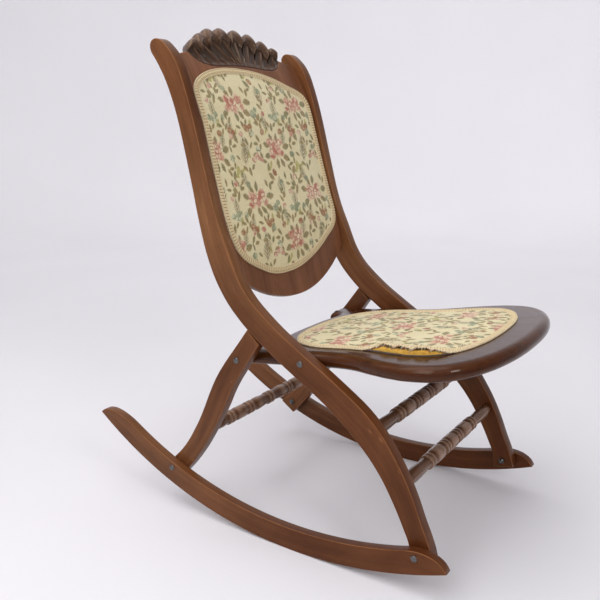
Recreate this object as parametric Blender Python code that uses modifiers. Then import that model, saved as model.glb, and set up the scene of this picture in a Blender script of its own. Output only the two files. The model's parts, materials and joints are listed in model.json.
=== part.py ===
"""Folding sewing rocker: a small upholstered rocking chair that folds flat on eight pivots.

Metres, +Z up. The chair faces -Y and its left side, as the sitter has it, is at +X.
The origin lies on the floor, under the middle of the chair's box.
Side-view places are (y, z) pairs measured from the point where the rockers touch the floor,
which lies FLOOR_POINT_Y from the origin.
"""
import math

import bmesh
import bpy
from mathutils import Matrix, Vector

COLLECTION = "folding_sewing_rocker"

# ---------------------------------------------------------------- driving dimensions
FLOOR_POINT_Y = -0.0613          # the rockers touch the floor here
GAP = 0.0003                     # between pieces that touch
FIT = 0.0004                     # round a bolt, screw or dowel in its hole
CUT_PAST = 0.0100                # a cutter runs this far past the faces it cuts

POST_OUTER = 0.2000              # half the width over the posts
POST_THICK = 0.0213              # posts and rear legs are the same stock
POST_INNER = POST_OUTER - POST_THICK
WASHER_THICK = 0.0008
ROCKER_INNER = POST_OUTER + WASHER_THICK + 2 * GAP
ROCKER_THICK = 0.0166
ROCKER_OUTER = ROCKER_INNER + ROCKER_THICK

# pivots, as (y, z) in the side view
FRONT_FOOT = (-0.2249, 0.0627)   # post on rocker
REAR_FOOT = (0.2634, 0.0788)     # leg on rocker
SEAT_PIVOT = (-0.0078, 0.3244)   # post on seat
LEG_PIVOT = (0.1213, 0.3074)     # leg on seat lug

# rockers: part of a ring, rounded off at both ends
ROCKER_RADIUS = 0.7406
ROCKER_DEPTH = 0.0395
ROCKER_FRONT = -0.2840           # arc lengths from the touching point to the tips
ROCKER_REAR = 0.4775
ROCKER_FRONT_ROUND = 0.060       # length of each rounded end
ROCKER_REAR_ROUND = 0.080
ROCKER_FLAT = 0.0130             # half length of the one level facet underneath
ROCKER_STEP = 0.0130             # length of the other facets

# rungs, as (y, z) of their axes
UPPER_RUNG = (-0.1300, 0.2300)
LOWER_RUNG = (-0.1875, 0.1608)
REAR_RUNG = (0.2010, 0.1600)
RUNG_SOCKET = 0.0120
TENON_RADIUS = 0.0085
RUNG_END = 0.0098                # radii down a rung, from its ends to its middle
RUNG_TAPER = 0.0112
RUNG_NECK = 0.0100
RING_FOOT = 0.0104
RING_CREST = 0.0124
RING_GROOVE = 0.0108
RUNG_TAPER_LENGTH = 0.0300
NECK_LENGTH = 0.0160
RING_REACH = (0.0095, 0.0075, 0.0030)   # half lengths of a ring pair's foot, crest and groove
BARREL_HALF = 0.0100
FRONT_RINGS = (0.0910, 0.0265)   # how far from the middle each ring pair is
REAR_RINGS = (0.1250, 0.0655, 0.0)
FRONT_BARREL = 0.0128            # radii of the barrels between ring pairs
REAR_BARREL = 0.0125

# seat, in its own plane: x across, v rearwards from the seat pivot, n upwards
SEAT_THICK = 0.0250
SEAT_ROUND = 0.0090
SEAT_SIDE = POST_INNER - WASHER_THICK - 2 * GAP

# back panel, in the plane that leans with it: x across, s upwards from PANEL_ORIGIN
PANEL_LEAN = math.radians(16.26)
PANEL_ORIGIN = (0.2080, 0.7000)
PANEL_THICK = 0.0120
PANEL_SIDE = POST_INNER - GAP
PANEL_STRIPS = 14
SLAB_REACH = 0.0900              # a flat piece runs this far each way before the bend trims it
BEND_MARGIN = 0.0050             # the bend stops this far inside the ends of PANEL_CURVE

# upholstery
BRAID_WIDTH = 0.0120
BRAID_THICK = 0.0025
COVER_THICK = 0.0012
BACK_PAD_THICK = 0.0085
SEAT_PAD_THICK = 0.0120

# fasteners
SHANK_RADIUS = 0.0024
HEAD_RADIUS = 0.0055
HEAD_HEIGHT = 0.0022
WASHER_RADIUS = 0.0085
NUT_ACROSS = 0.0100
NUT_THICK = 0.0034
BOLT_END = 0.0012
DOWEL_RADIUS = 0.0030
DOWEL_DEPTH = 0.0110
DOWEL_HEIGHTS = (0.5000, 0.7400)
SCREW_DEPTH = 0.0240
SCREW_POINT = 0.0060
DOME_DEGREES = (0, 35, 65, 90)
ROUND_STEPS = 12
RUNG_STEPS = 10

WALNUT = (0.150, 0.062, 0.030, 1.0)
DARK_WALNUT = (0.075, 0.036, 0.022, 1.0)
TURNED_WALNUT = (0.130, 0.055, 0.032, 1.0)
TAPESTRY = (0.680, 0.610, 0.440, 1.0)
GIMP = (0.640, 0.540, 0.330, 1.0)
FOAM = (0.800, 0.520, 0.120, 1.0)
STEEL = (0.200, 0.205, 0.210, 1.0)


# ---------------------------------------------------------------- scene and helpers
def clear_scene():
    for obj in list(bpy.data.objects):
        bpy.data.objects.remove(obj, do_unlink=True)


def new_collection(name):
    old = bpy.data.collections.get(name)
    if old:
        bpy.data.collections.remove(old)
    collection = bpy.data.collections.new(name)
    bpy.context.scene.collection.children.link(collection)
    return collection


def material(name, colour, roughness, metallic=0.0):
    mat = bpy.data.materials.new(name)
    mat.use_nodes = True
    shader = mat.node_tree.nodes["Principled BSDF"]
    shader.inputs["Base Color"].default_value = colour
    shader.inputs["Roughness"].default_value = roughness
    shader.inputs["Metallic"].default_value = metallic
    mat.diffuse_color = colour
    return mat


def place(y, z, x=0.0):
    """A side-view point in world coordinates."""
    return Vector((x, y + FLOOR_POINT_Y, z))


def add(name, data, collection):
    obj = bpy.data.objects.new(name, data)
    collection.objects.link(obj)
    return obj


def finish(obj, mat, parent=None):
    """Give a finished piece its material, smooth shading and parent."""
    obj.data.materials.clear()
    obj.data.materials.append(mat)
    obj.data.shade_smooth()
    obj.data.set_sharp_from_angle(angle=math.radians(35))
    if parent:
        bpy.context.view_layer.update()
        obj.parent = parent
        obj.matrix_parent_inverse = parent.matrix_world.inverted()
    return obj


def empty(name, pivot):
    obj = add(name, None, PARTS)
    obj.empty_display_size = 0.03
    obj.location = place(*pivot)
    return obj


def outline_curve(name, points, half_thickness, bevel=0.0, resolution=6):
    """A flat closed outline, extruded. A point is (u, v) on a bend or (u, v, 'corner')."""
    curve = bpy.data.curves.new(name, "CURVE")
    curve.dimensions = "2D"
    curve.fill_mode = "BOTH"
    curve.resolution_u = resolution
    curve.extrude = half_thickness - bevel
    curve.bevel_depth = bevel
    curve.bevel_resolution = 1
    curve.offset = -bevel
    spline = curve.splines.new("BEZIER")
    spline.bezier_points.add(len(points) - 1)
    for bezier, point in zip(spline.bezier_points, points):
        bezier.co = (point[0], point[1], 0.0)
        kind = "VECTOR" if len(point) == 3 else "AUTO"
        bezier.handle_left_type = kind
        bezier.handle_right_type = kind
    spline.use_cyclic_u = True
    return curve


def curve_to_mesh(name, curve, matrix, collection):
    """The extruded outline as one welded mesh object, placed by a matrix."""
    maker = add(name + "_curve", curve, collection)
    maker.matrix_world = matrix
    bpy.context.view_layer.update()
    graph = bpy.context.evaluated_depsgraph_get()
    mesh = bpy.data.meshes.new_from_object(maker.evaluated_get(graph))
    bpy.data.objects.remove(maker, do_unlink=True)
    weld(mesh)
    obj = add(name, mesh, collection)
    obj.matrix_world = matrix
    return obj


def weld(mesh):
    bm = bmesh.new()
    bm.from_mesh(mesh)
    bmesh.ops.remove_doubles(bm, verts=bm.verts, dist=0.00002)
    bmesh.ops.recalc_face_normals(bm, faces=bm.faces)
    bm.to_mesh(mesh)
    bm.free()


def side_matrix(x, pivot):
    """Local x, y, z become world Y, Z, X, about a side-view pivot."""
    turn = Matrix(((0, 0, 1), (1, 0, 0), (0, 1, 0))).to_4x4()
    return Matrix.Translation(place(*pivot, x)) @ turn


def about(points, pivot):
    return [(p[0] - pivot[0], p[1] - pivot[1], *p[2:]) for p in points]


def side_board(name, points, pivot, x_middle, thickness, resolution=3):
    """A board cut to a side-view outline, its origin on the given pivot."""
    curve = outline_curve(name, about(points, pivot), thickness / 2, 0.0, resolution)
    return curve_to_mesh(name, curve, side_matrix(x_middle, pivot), PARTS)


def cutter(obj):
    obj.hide_render = True
    obj.display_type = "WIRE"
    return obj


def cut(obj, tool, operation="DIFFERENCE"):
    boolean = obj.modifiers.new(tool.name, "BOOLEAN")
    boolean.operation = operation
    boolean.solver = "EXACT"
    boolean.object = tool
    return obj


def bore(obj, name, pivot, x_from, x_to, radius):
    """Drill a hole along X at a side-view point."""
    bpy.ops.mesh.primitive_cylinder_add(vertices=ROUND_STEPS, radius=radius,
                                        depth=abs(x_to - x_from),
                                        location=place(*pivot, (x_from + x_to) / 2),
                                        rotation=(0.0, math.pi / 2, 0.0))
    tool = bpy.context.object
    tool.name = name
    for owner in list(tool.users_collection):
        owner.objects.unlink(tool)
    CUTTERS.objects.link(tool)
    return cut(obj, cutter(tool))


def turned(name, profile, pivot, side=1, x_start=0.0, steps=ROUND_STEPS):
    """A turned piece along X. The profile is (radius, x) pairs with x falling.

    side is 1 on the left of the chair and -1 on the right, where x is mirrored.
    """
    mesh = bpy.data.meshes.new(name)
    verts = [(radius, 0.0, x + x_start) for radius, x in profile]
    edges = [(i, i + 1) for i in range(len(verts) - 1)]
    mesh.from_pydata(verts, edges, [])
    obj = add(name, mesh, PARTS)
    obj.location = place(*pivot)
    obj.rotation_euler = (0.0, side * math.pi / 2, 0.0)
    screw = obj.modifiers.new("turn", "SCREW")
    screw.axis = "Z"
    screw.steps = steps
    screw.render_steps = steps
    screw.use_merge_vertices = True
    screw.merge_threshold = 0.00002
    return obj


# ---------------------------------------------------------------- side boards
POST_OUTLINE = [
    # front edge, from the foot up
    (-0.2480, 0.0545, "corner"), (-0.2427, 0.0729), (-0.2264, 0.1110), (-0.2065, 0.1580),
    (-0.1794, 0.2058), (-0.1398, 0.2556), (-0.0799, 0.2998), (-0.0082, 0.3435),
    (0.0578, 0.3878), (0.1038, 0.4319), (0.1355, 0.4953), (0.1561, 0.5432),
    (0.1730, 0.6010), (0.1889, 0.6600), (0.2060, 0.7230), (0.2205, 0.7656),
    (0.2341, 0.7970), (0.2520, 0.8195),
    # top scroll
    (0.2760, 0.8330), (0.2868, 0.8282), (0.2886, 0.8170),
    # rear edge, down to the foot
    (0.2771, 0.7987), (0.2610, 0.7730), (0.2450, 0.7370), (0.2336, 0.7027),
    (0.2216, 0.6561), (0.2061, 0.5895), (0.1913, 0.5238), (0.1747, 0.4700),
    (0.1500, 0.4220), (0.1134, 0.3795), (0.0545, 0.3341), (0.0062, 0.3030),
    (-0.0667, 0.2566), (-0.1161, 0.2147), (-0.1500, 0.1770), (-0.1754, 0.1370),
    (-0.1975, 0.0936), (-0.2073, 0.0708), (-0.2110, 0.0470, "corner"),
]

LEG_OUTLINE = [
    # the top end is cut along the post's rear edge, and stops against it
    (0.0740, 0.3428, "corner"), (0.0977, 0.3641, "corner"),
    (0.1230, 0.3300), (0.1468, 0.2983), (0.1660, 0.2691), (0.1833, 0.2350),
    (0.1975, 0.2030), (0.2092, 0.1790), (0.2220, 0.1566), (0.2363, 0.1334),
    (0.2600, 0.1040), (0.2917, 0.0747, "corner"), (0.2612, 0.0533, "corner"),
    (0.2400, 0.0765), (0.2162, 0.1065), (0.1935, 0.1400), (0.1739, 0.1737),
    (0.1553, 0.2072), (0.1336, 0.2519), (0.1040, 0.2983),
]


def make_posts():
    for side, name in ((1, "left_post"), (-1, "right_post")):
        middle = side * (POST_OUTER - POST_THICK / 2)
        post = side_board(name, POST_OUTLINE, FRONT_FOOT, middle, POST_THICK)
        inner = side * POST_INNER
        for label, pivot in (("foot", FRONT_FOOT), ("seat", SEAT_PIVOT)):
            bore(post, f"{name}_{label}_bore", pivot, inner - side * CUT_PAST,
                 side * (POST_OUTER + CUT_PAST), SHANK_RADIUS + FIT)
        for label, pivot in (("upper", UPPER_RUNG), ("lower", LOWER_RUNG)):
            bore(post, f"{name}_{label}_socket", pivot, inner - side * CUT_PAST,
                 inner + side * (RUNG_SOCKET + GAP), TENON_RADIUS + GAP)
        for index, pivot in enumerate(DOWELS):
            bore(post, f"{name}_dowel_{index}", pivot, inner - side * CUT_PAST,
                 inner + side * (DOWEL_DEPTH + GAP), DOWEL_RADIUS + GAP)
        finish(post, WOOD)


def make_legs(pivot):
    for side, name in ((1, "left_leg"), (-1, "right_leg")):
        middle = side * (POST_OUTER - POST_THICK / 2)
        leg = side_board(name, LEG_OUTLINE, LEG_PIVOT, middle, POST_THICK)
        inner = side * POST_INNER
        for label, point in (("seat", LEG_PIVOT), ("foot", REAR_FOOT)):
            bore(leg, f"{name}_{label}_bore", point, inner - side * CUT_PAST,
                 side * (POST_OUTER + CUT_PAST), SHANK_RADIUS + FIT)
        bore(leg, f"{name}_socket", REAR_RUNG, inner - side * CUT_PAST,
             inner + side * (RUNG_SOCKET + GAP), TENON_RADIUS + GAP)
        finish(leg, WOOD, pivot)


def rocker_outline():
    """Facets round the floor arc, then back along the top with both ends rounded."""
    def steps(start, stop):
        count = round(abs(stop - start) / ROCKER_STEP)
        return [start + (stop - start) * i / count for i in range(count + 1)]

    def point(arc, depth):
        angle = arc / ROCKER_RADIUS
        radius = ROCKER_RADIUS - depth
        return radius * math.sin(angle), ROCKER_RADIUS - lift - radius * math.cos(angle)

    def depth(arc):
        front = min((arc - ROCKER_FRONT) / ROCKER_FRONT_ROUND, 1.0)
        rear = min((ROCKER_REAR - arc) / ROCKER_REAR_ROUND, 1.0)
        return ROCKER_DEPTH * math.sqrt(1 - (1 - front) ** 2) * math.sqrt(1 - (1 - rear) ** 2)

    # the level facet's ends touch z = 0
    lift = ROCKER_RADIUS * (1 - math.cos(ROCKER_FLAT / ROCKER_RADIUS))
    bottom = steps(ROCKER_FRONT, -ROCKER_FLAT) + steps(ROCKER_FLAT, ROCKER_REAR)
    top = steps(ROCKER_REAR, ROCKER_REAR - ROCKER_REAR_ROUND)
    top += steps(ROCKER_REAR - ROCKER_REAR_ROUND, ROCKER_FRONT + ROCKER_FRONT_ROUND)[1:]
    top += steps(ROCKER_FRONT + ROCKER_FRONT_ROUND, ROCKER_FRONT)[1:]
    near_tip = ROCKER_STEP / 6
    points = [point(arc, 0.0) for arc in bottom]
    points.append(point(ROCKER_REAR - near_tip, depth(ROCKER_REAR - near_tip)))
    points += [point(arc, depth(arc)) for arc in top[1:-1]]
    points.append(point(ROCKER_FRONT + near_tip, depth(ROCKER_FRONT + near_tip)))
    return [(*p, "corner") for p in points]


def make_rockers(pivots):
    outline = rocker_outline()
    for side, name in ((1, "left_rocker"), (-1, "right_rocker")):
        middle = side * (ROCKER_INNER + ROCKER_OUTER) / 2
        rocker = side_board(name, outline, FRONT_FOOT, middle, ROCKER_THICK, resolution=1)
        for label, point in (("front", FRONT_FOOT), ("rear", REAR_FOOT)):
            bore(rocker, f"{name}_{label}_bore", point, side * (ROCKER_INNER - CUT_PAST),
                 side * (ROCKER_OUTER + CUT_PAST), SHANK_RADIUS + FIT)
        finish(rocker, WOOD, pivots[side])


# ---------------------------------------------------------------- rungs
def rung_profile(rings, barrel_radius):
    """Half a turned rung as (radius, x): tapered end, then barrels parted by ring pairs."""
    half = POST_INNER + RUNG_SOCKET
    foot, crest, groove = RING_REACH
    points = [(0.0, half), (TENON_RADIUS, half), (TENON_RADIUS, POST_INNER - GAP),
              (RUNG_END, POST_INNER - 2 * GAP), (RUNG_TAPER, POST_INNER - RUNG_TAPER_LENGTH),
              (RUNG_NECK, rings[0] + NECK_LENGTH)]
    for index, ring in enumerate(rings):
        points += [(RING_FOOT, ring + foot), (RING_CREST, ring + crest),
                   (RING_CREST, ring + groove), (RING_GROOVE, ring),
                   (RING_CREST, ring - groove), (RING_CREST, ring - crest),
                   (RING_FOOT, ring - foot)]
        after = rings[index + 1] if index + 1 < len(rings) else -ring
        middle = (ring + after) / 2
        if after < ring:
            points.append((barrel_radius, middle + BARREL_HALF))
        if 0 < after < ring:
            points.append((barrel_radius, middle - BARREL_HALF))
    return points


def make_rung(name, pivot, rings, barrel_radius, parent=None):
    half = rung_profile(rings, barrel_radius)
    if rings[-1] == 0.0:
        half = half[:-3]
    other = [(radius, -x) for radius, x in reversed(half)]
    if rings[-1] == 0.0:
        other = other[1:]
    rung = turned(name, half + other, pivot, steps=RUNG_STEPS)
    return finish(rung, TURNED, parent)


# ---------------------------------------------------------------- seat
SEAT_HALF = [
    # rear edge from the middle, round the lug, forward along the post, then the wide front
    (0.0000, 0.1230), (0.0550, 0.1215), (0.1000, 0.1150), (0.1230, 0.1190),
    (0.1310, 0.1300), (0.1330, 0.1455, "corner"), (SEAT_SIDE, 0.1455, "corner"),
    (SEAT_SIDE, 0.0000), (SEAT_SIDE, -0.0450), (0.1830, -0.0800), (0.1990, -0.1200),
    (0.2150, -0.1650), (0.2205, -0.2050), (0.2130, -0.2430), (0.1890, -0.2730),
    (0.1500, -0.2950), (0.1000, -0.3090), (0.0500, -0.3155), (0.0000, -0.3170),
]
SEAT_PAD_HALF = [
    (0.0000, 0.0940), (0.0500, 0.0900), (0.0950, 0.0740), (0.1270, 0.0440),
    (0.1430, 0.0000), (0.1440, -0.0500), (0.1500, -0.1000), (0.1640, -0.1500),
    (0.1690, -0.1850), (0.1600, -0.2180), (0.1300, -0.2440), (0.0850, -0.2600),
    (0.0400, -0.2660), (0.0000, -0.2670),
]


def both_halves(half):
    """A whole outline from its +X half, whose first and last points are on the middle line."""
    return half + [(-p[0], *p[1:]) for p in reversed(half[1:-1])]


def seat_matrix(n=0.0):
    """Local x, y, z become across, rearwards and up in the seat's own plane."""
    dy = LEG_PIVOT[0] - SEAT_PIVOT[0]
    dz = LEG_PIVOT[1] - SEAT_PIVOT[1]
    turn = Matrix.Rotation(math.atan2(dz, dy), 4, "X")
    return Matrix.Translation(place(*SEAT_PIVOT)) @ turn @ Matrix.Translation((0, 0, n))


def inset(points, distance):
    """Move each point of a closed anticlockwise or clockwise outline inwards."""
    count = len(points)
    area = sum(points[i][0] * points[(i + 1) % count][1]
               - points[(i + 1) % count][0] * points[i][1] for i in range(count))
    turn = 1.0 if area > 0 else -1.0
    moved = []
    for i, point in enumerate(points):
        before = Vector(points[i - 1][:2])
        after = Vector(points[(i + 1) % count][:2])
        along = (after - before).normalized()
        inward = Vector((-along.y, along.x)) * turn * distance
        moved.append((point[0] + inward.x, point[1] + inward.y, *point[2:]))
    return moved


def slab(name, outline, bottom, top, matrix, collection, resolution=2, bevel=0.0):
    """A flat piece between two heights above a plane."""
    curve = outline_curve(name, outline, (top - bottom) / 2, bevel, resolution)
    middle = matrix @ Matrix.Translation((0, 0, (top + bottom) / 2))
    return curve_to_mesh(name, curve, middle, collection)


def make_seat(pivot):
    board = slab("seat_board", both_halves(SEAT_HALF), -SEAT_THICK / 2, SEAT_THICK / 2,
                 seat_matrix(), PARTS, 3, SEAT_ROUND)
    for side in (1, -1):
        for label, point in (("post", SEAT_PIVOT), ("leg", LEG_PIVOT)):
            bore(board, f"seat_{label}_bore_{side}", point, side * (SEAT_SIDE - SCREW_DEPTH - GAP),
                 side * (SEAT_SIDE + CUT_PAST), SHANK_RADIUS + GAP)
    finish(board, WOOD, pivot)

    on_top = seat_matrix(SEAT_THICK / 2)
    edge = both_halves(SEAT_PAD_HALF)
    upholster("seat", edge, on_top, SEAT_PAD_THICK, None, pivot)


def upholster(name, edge, plane, pad_thick, bent, parent):
    """Padding, a cover over it and a braid round the edge.

    bent trims the flat-cut pieces to the back panel's curve, and is None on the seat.
    """
    inside = inset(edge, BRAID_WIDTH + GAP)
    core = inset(edge, BRAID_WIDTH + COVER_THICK + 2 * GAP)

    def layer(piece, outline, bottom, top, collection):
        if bent is None:
            return slab(f"{name}_{piece}", outline, bottom, top, plane, collection)
        obj = slab(f"{name}_{piece}", outline, -SLAB_REACH, SLAB_REACH, plane, collection)
        return cut(obj, bent(f"{name}_{piece}_trim", bottom, top), "INTERSECT")

    padding = layer("padding", core, GAP, GAP + pad_thick, PARTS)
    finish(padding, FOAMED, parent)

    cover_top = 2 * GAP + pad_thick + COVER_THICK
    cover = layer("cover", inside, GAP, cover_top, PARTS)
    under = inset(edge, BRAID_WIDTH + COVER_THICK + GAP)
    room = layer("cover_room", under, -CUT_PAST, 2 * GAP + pad_thick, CUTTERS)
    cut(cover, cutter(room))
    finish(cover, CLOTH, parent)

    braid = layer("braid", edge, GAP, GAP + BRAID_THICK, PARTS)
    hole = slab(f"{name}_braid_hole", inset(edge, BRAID_WIDTH), -SLAB_REACH, SLAB_REACH, plane,
                CUTTERS)
    cut(braid, cutter(hole))
    finish(braid, BRAID, parent)


# ---------------------------------------------------------------- back panel
PANEL_CURVE = [
    # (y, z) down the middle of the panel's front face
    (0.1095, 0.3400), (0.1245, 0.3950), (0.1383, 0.4547), (0.1600, 0.5400),
    (0.1840, 0.6200), (0.2090, 0.7000), (0.2315, 0.7635), (0.2510, 0.7970),
    (0.2700, 0.8230), (0.2880, 0.8480), (0.3080, 0.8750),
]
# (x, s) round the panel, +X half: the top notch takes the crest, and the bottom is an arc
PANEL_BOTTOM_RADIUS = 0.2655
PANEL_LOWEST = -0.3260
CREST_SEAT = [(0.0000, 0.1070), (0.0400, 0.1055), (0.0800, 0.1035), (0.1180, 0.1110)]
PANEL_TOP = [(0.1350, 0.1285, "corner"), (0.1550, 0.1240), (PANEL_SIDE, 0.1170, "corner")]
CREST_END = (0.1350, 0.1290)
# each lobe of the crest: (x of its middle, s of its top, half width)
CREST_LOBES = [(0.0215, 0.1800, 0.0195), (0.0585, 0.1750, 0.0165),
               (0.0895, 0.1625, 0.0135), (0.1150, 0.1490, 0.0110)]
CREST_VALLEY = 0.0170
CREST_PROUD = 0.0015
BACK_PAD = [
    # braid's outer edge, from the top middle round the +X side
    (0.0000, 0.0975), (0.0400, 0.0930), (0.0823, 0.0830), (0.1240, 0.0680),
    (0.1560, 0.0560), (0.1690, 0.0400), (0.1700, 0.0016), (0.1700, -0.0709),
    (0.1706, -0.1544), (0.1690, -0.2010), (0.1540, -0.2190), (0.1300, -0.2320),
    (0.0895, -0.2533), (0.0477, -0.2688), (0.0096, -0.2782), (-0.0250, -0.2810),
    (-0.0570, -0.2800), (-0.0840, -0.2740), (-0.1119, -0.2618), (-0.1366, -0.2489),
    (-0.1570, -0.2320), (-0.1690, -0.2080), (-0.1740, -0.1700), (-0.1731, -0.1200),
    (-0.1711, -0.0469), (-0.1690, 0.0056), (-0.1691, 0.0445), (-0.1640, 0.0610),
    (-0.1507, 0.0732), (-0.1318, 0.0833), (-0.0970, 0.0935), (-0.0450, 0.0990),
]


def panel_front(z):
    """The front face's y at a height, by a smooth curve through PANEL_CURVE."""
    spots = PANEL_CURVE
    for i in range(len(spots) - 1):
        if z <= spots[i + 1][1] or i == len(spots) - 2:
            break
    slopes = []
    for k in (i, i + 1):
        before = spots[max(k - 1, 0)]
        after = spots[min(k + 1, len(spots) - 1)]
        slopes.append((after[0] - before[0]) / (after[1] - before[1]))
    (y0, z0), (y1, z1) = spots[i], spots[i + 1]
    t = (z - z0) / (z1 - z0)
    span = z1 - z0
    return (y0 * (1 + 2 * t) * (1 - t) ** 2 + slopes[0] * span * t * (1 - t) ** 2
            + y1 * t * t * (3 - 2 * t) + slopes[1] * span * t * t * (t - 1))


def panel_point(z, forward):
    """A side-view point in front of (or, negative, behind) the panel's front face."""
    step = 0.001
    slope = (panel_front(z + step) - panel_front(z - step)) / (2 * step)
    length = math.hypot(1.0, slope)
    return panel_front(z) - forward / length, z + forward * slope / length


def panel_matrix():
    """Local x, y, z become across, up the lean and forward out of the panel."""
    turn = Matrix.Rotation(math.pi / 2 - PANEL_LEAN, 4, "X")
    return Matrix.Translation(place(*PANEL_ORIGIN)) @ turn


def bent_slab(name, back, front):
    """A cutter that follows the panel's curve between two distances from its front face."""
    low, high = PANEL_CURVE[0][1] + BEND_MARGIN, PANEL_CURVE[-1][1] - BEND_MARGIN
    heights = [low + (high - low) * i / PANEL_STRIPS for i in range(PANEL_STRIPS + 1)]
    points = [(*panel_point(z, back), "corner") for z in heights]
    points += [(*panel_point(z, front), "corner") for z in reversed(heights)]
    curve = outline_curve(name, about(points, PANEL_ORIGIN), ROCKER_OUTER, 0.0, 1)
    return cutter(curve_to_mesh(name, curve, side_matrix(0.0, PANEL_ORIGIN), CUTTERS))


def panel_outline():
    rise = PANEL_BOTTOM_RADIUS - math.sqrt(PANEL_BOTTOM_RADIUS ** 2 - PANEL_SIDE ** 2)
    bottom = [(PANEL_SIDE, PANEL_LOWEST + rise, "corner")]
    count = 9
    for i in range(count - 1, 0, -1):
        x = PANEL_SIDE * i / count
        bottom.append((x, PANEL_LOWEST + PANEL_BOTTOM_RADIUS
                       - math.sqrt(PANEL_BOTTOM_RADIUS ** 2 - x * x)))
    bottom.append((0.0, PANEL_LOWEST))
    return both_halves(CREST_SEAT + PANEL_TOP + bottom)


def crest_outline():
    """Round lobes along the top and the notch curve, a gap clear of the panel, below."""
    half = []
    valley = 0.0
    for middle, top, width in CREST_LOBES:
        half.append((valley, top - CREST_VALLEY, "corner"))
        for degrees in range(-60, 61, 30):
            angle = math.radians(degrees)
            half.append((middle + width * math.sin(angle),
                         top - width * 1.25 * (1 - math.cos(angle)), "corner"))
        valley = middle + width
    half.append((*CREST_END, "corner"))
    lower = [(x, s + GAP) for x, s in reversed(CREST_SEAT)]
    lower[0] = (lower[0][0] - GAP / 2, lower[0][1])
    return both_halves(half + lower)


def make_back():
    plane = panel_matrix()
    panel = slab("back_panel", panel_outline(), -SLAB_REACH, SLAB_REACH, plane, PARTS)
    cut(panel, bent_slab("back_panel_trim", -PANEL_THICK, 0.0), "INTERSECT")
    for side in (1, -1):
        for index, pivot in enumerate(DOWELS):
            bore(panel, f"panel_dowel_bore_{index}_{side}", pivot,
                 side * (PANEL_SIDE - DOWEL_DEPTH - GAP), side * (PANEL_SIDE + CUT_PAST),
                 DOWEL_RADIUS + GAP)
    finish(panel, WOOD)

    crest = slab("carved_crest", crest_outline(), -SLAB_REACH, SLAB_REACH, plane, PARTS)
    cut(crest, bent_slab("carved_crest_trim", -PANEL_THICK - CREST_PROUD, CREST_PROUD),
        "INTERSECT")
    finish(crest, DARK)

    upholster("back", BACK_PAD, plane, BACK_PAD_THICK, bent_slab, None)


# ---------------------------------------------------------------- fasteners
def bolt_profile(length, point):
    """Domed head from x = 0 to HEAD_HEIGHT, and a shank down to -length, pointed on a screw."""
    dome = []
    for degrees in DOME_DEGREES:
        angle = math.radians(degrees)
        dome.append((HEAD_RADIUS * math.sin(angle), HEAD_HEIGHT * math.cos(angle)))
    tapered = SCREW_POINT if point else 0.0
    return dome + [(SHANK_RADIUS, 0.0), (SHANK_RADIUS, tapered - length), (0.0, -length)]


def washer_profile(thickness):
    bore_radius = SHANK_RADIUS + FIT
    return [(bore_radius, thickness), (WASHER_RADIUS, thickness), (WASHER_RADIUS, 0.0),
            (bore_radius, 0.0), (bore_radius, thickness)]


def bolt(name, pivot, side, head_at, end_at, parent=None, point=False):
    obj = turned(name, bolt_profile(head_at - end_at, point), pivot, side, head_at)
    return finish(obj, METAL, parent)


def washer(name, pivot, side, inner_x, parent=None):
    obj = turned(name, washer_profile(WASHER_THICK), pivot, side, inner_x)
    return finish(obj, METAL, parent)


def nut(name, pivot, side, outer_x, parent=None):
    """A hexagon nut on an inner face."""
    mesh = bpy.data.meshes.new(name)
    bm = bmesh.new()
    radius = NUT_ACROSS / 2 / math.cos(math.pi / 6)
    bmesh.ops.create_cone(bm, cap_ends=True, segments=6, radius1=radius, radius2=radius,
                          depth=NUT_THICK)
    bm.to_mesh(mesh)
    bm.free()
    obj = add(name, mesh, PARTS)
    obj.location = place(*pivot, side * (outer_x - NUT_THICK / 2))
    obj.rotation_euler = (0.0, math.pi / 2, 0.0)
    bore(obj, f"{name}_thread", pivot, side * (outer_x - NUT_THICK - CUT_PAST),
         side * (outer_x + CUT_PAST), SHANK_RADIUS + GAP)
    return finish(obj, METAL, parent)


def make_fasteners(seat, legs, rocker):
    nut_face = POST_INNER - GAP
    bolt_end = nut_face - NUT_THICK - BOLT_END
    rocker_head = ROCKER_OUTER + GAP
    washer_at = POST_OUTER + GAP
    # the rear feet's pivot is opened: its bolt is parted where leg and rocker meet
    stud_at = washer_at + WASHER_THICK
    for side, hand in ((1, "left"), (-1, "right")):
        bolt(f"{hand}_front_foot_bolt", FRONT_FOOT, side, rocker_head, bolt_end)
        washer(f"{hand}_front_foot_washer", FRONT_FOOT, side, washer_at)
        nut(f"{hand}_front_foot_nut", FRONT_FOOT, side, nut_face)

        bolt(f"{hand}_rear_foot_bolt", REAR_FOOT, side, rocker_head, ROCKER_INNER + GAP,
             rocker[side])
        stud = [(0.0, stud_at), (SHANK_RADIUS, stud_at), (SHANK_RADIUS, bolt_end),
                (0.0, bolt_end)]
        finish(turned(f"{hand}_rear_foot_stud", stud, REAR_FOOT, side), METAL, legs)
        washer(f"{hand}_rear_foot_washer", REAR_FOOT, side, washer_at, legs)
        nut(f"{hand}_rear_foot_nut", REAR_FOOT, side, nut_face, legs)

        for name, point in (("seat_pivot", SEAT_PIVOT), ("leg_pivot", LEG_PIVOT)):
            bolt(f"{hand}_{name}_screw", point, side, POST_OUTER + GAP,
                 SEAT_SIDE - SCREW_DEPTH, seat, point=True)
            washer(f"{hand}_{name}_washer", point, side, SEAT_SIDE + GAP, seat)

        for height, point in zip(("lower", "upper"), DOWELS):
            ends = [(0.0, POST_INNER + DOWEL_DEPTH), (DOWEL_RADIUS, POST_INNER + DOWEL_DEPTH),
                    (DOWEL_RADIUS, PANEL_SIDE - DOWEL_DEPTH), (0.0, PANEL_SIDE - DOWEL_DEPTH)]
            finish(turned(f"{hand}_{height}_panel_dowel", ends, point, side), PEG)


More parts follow.
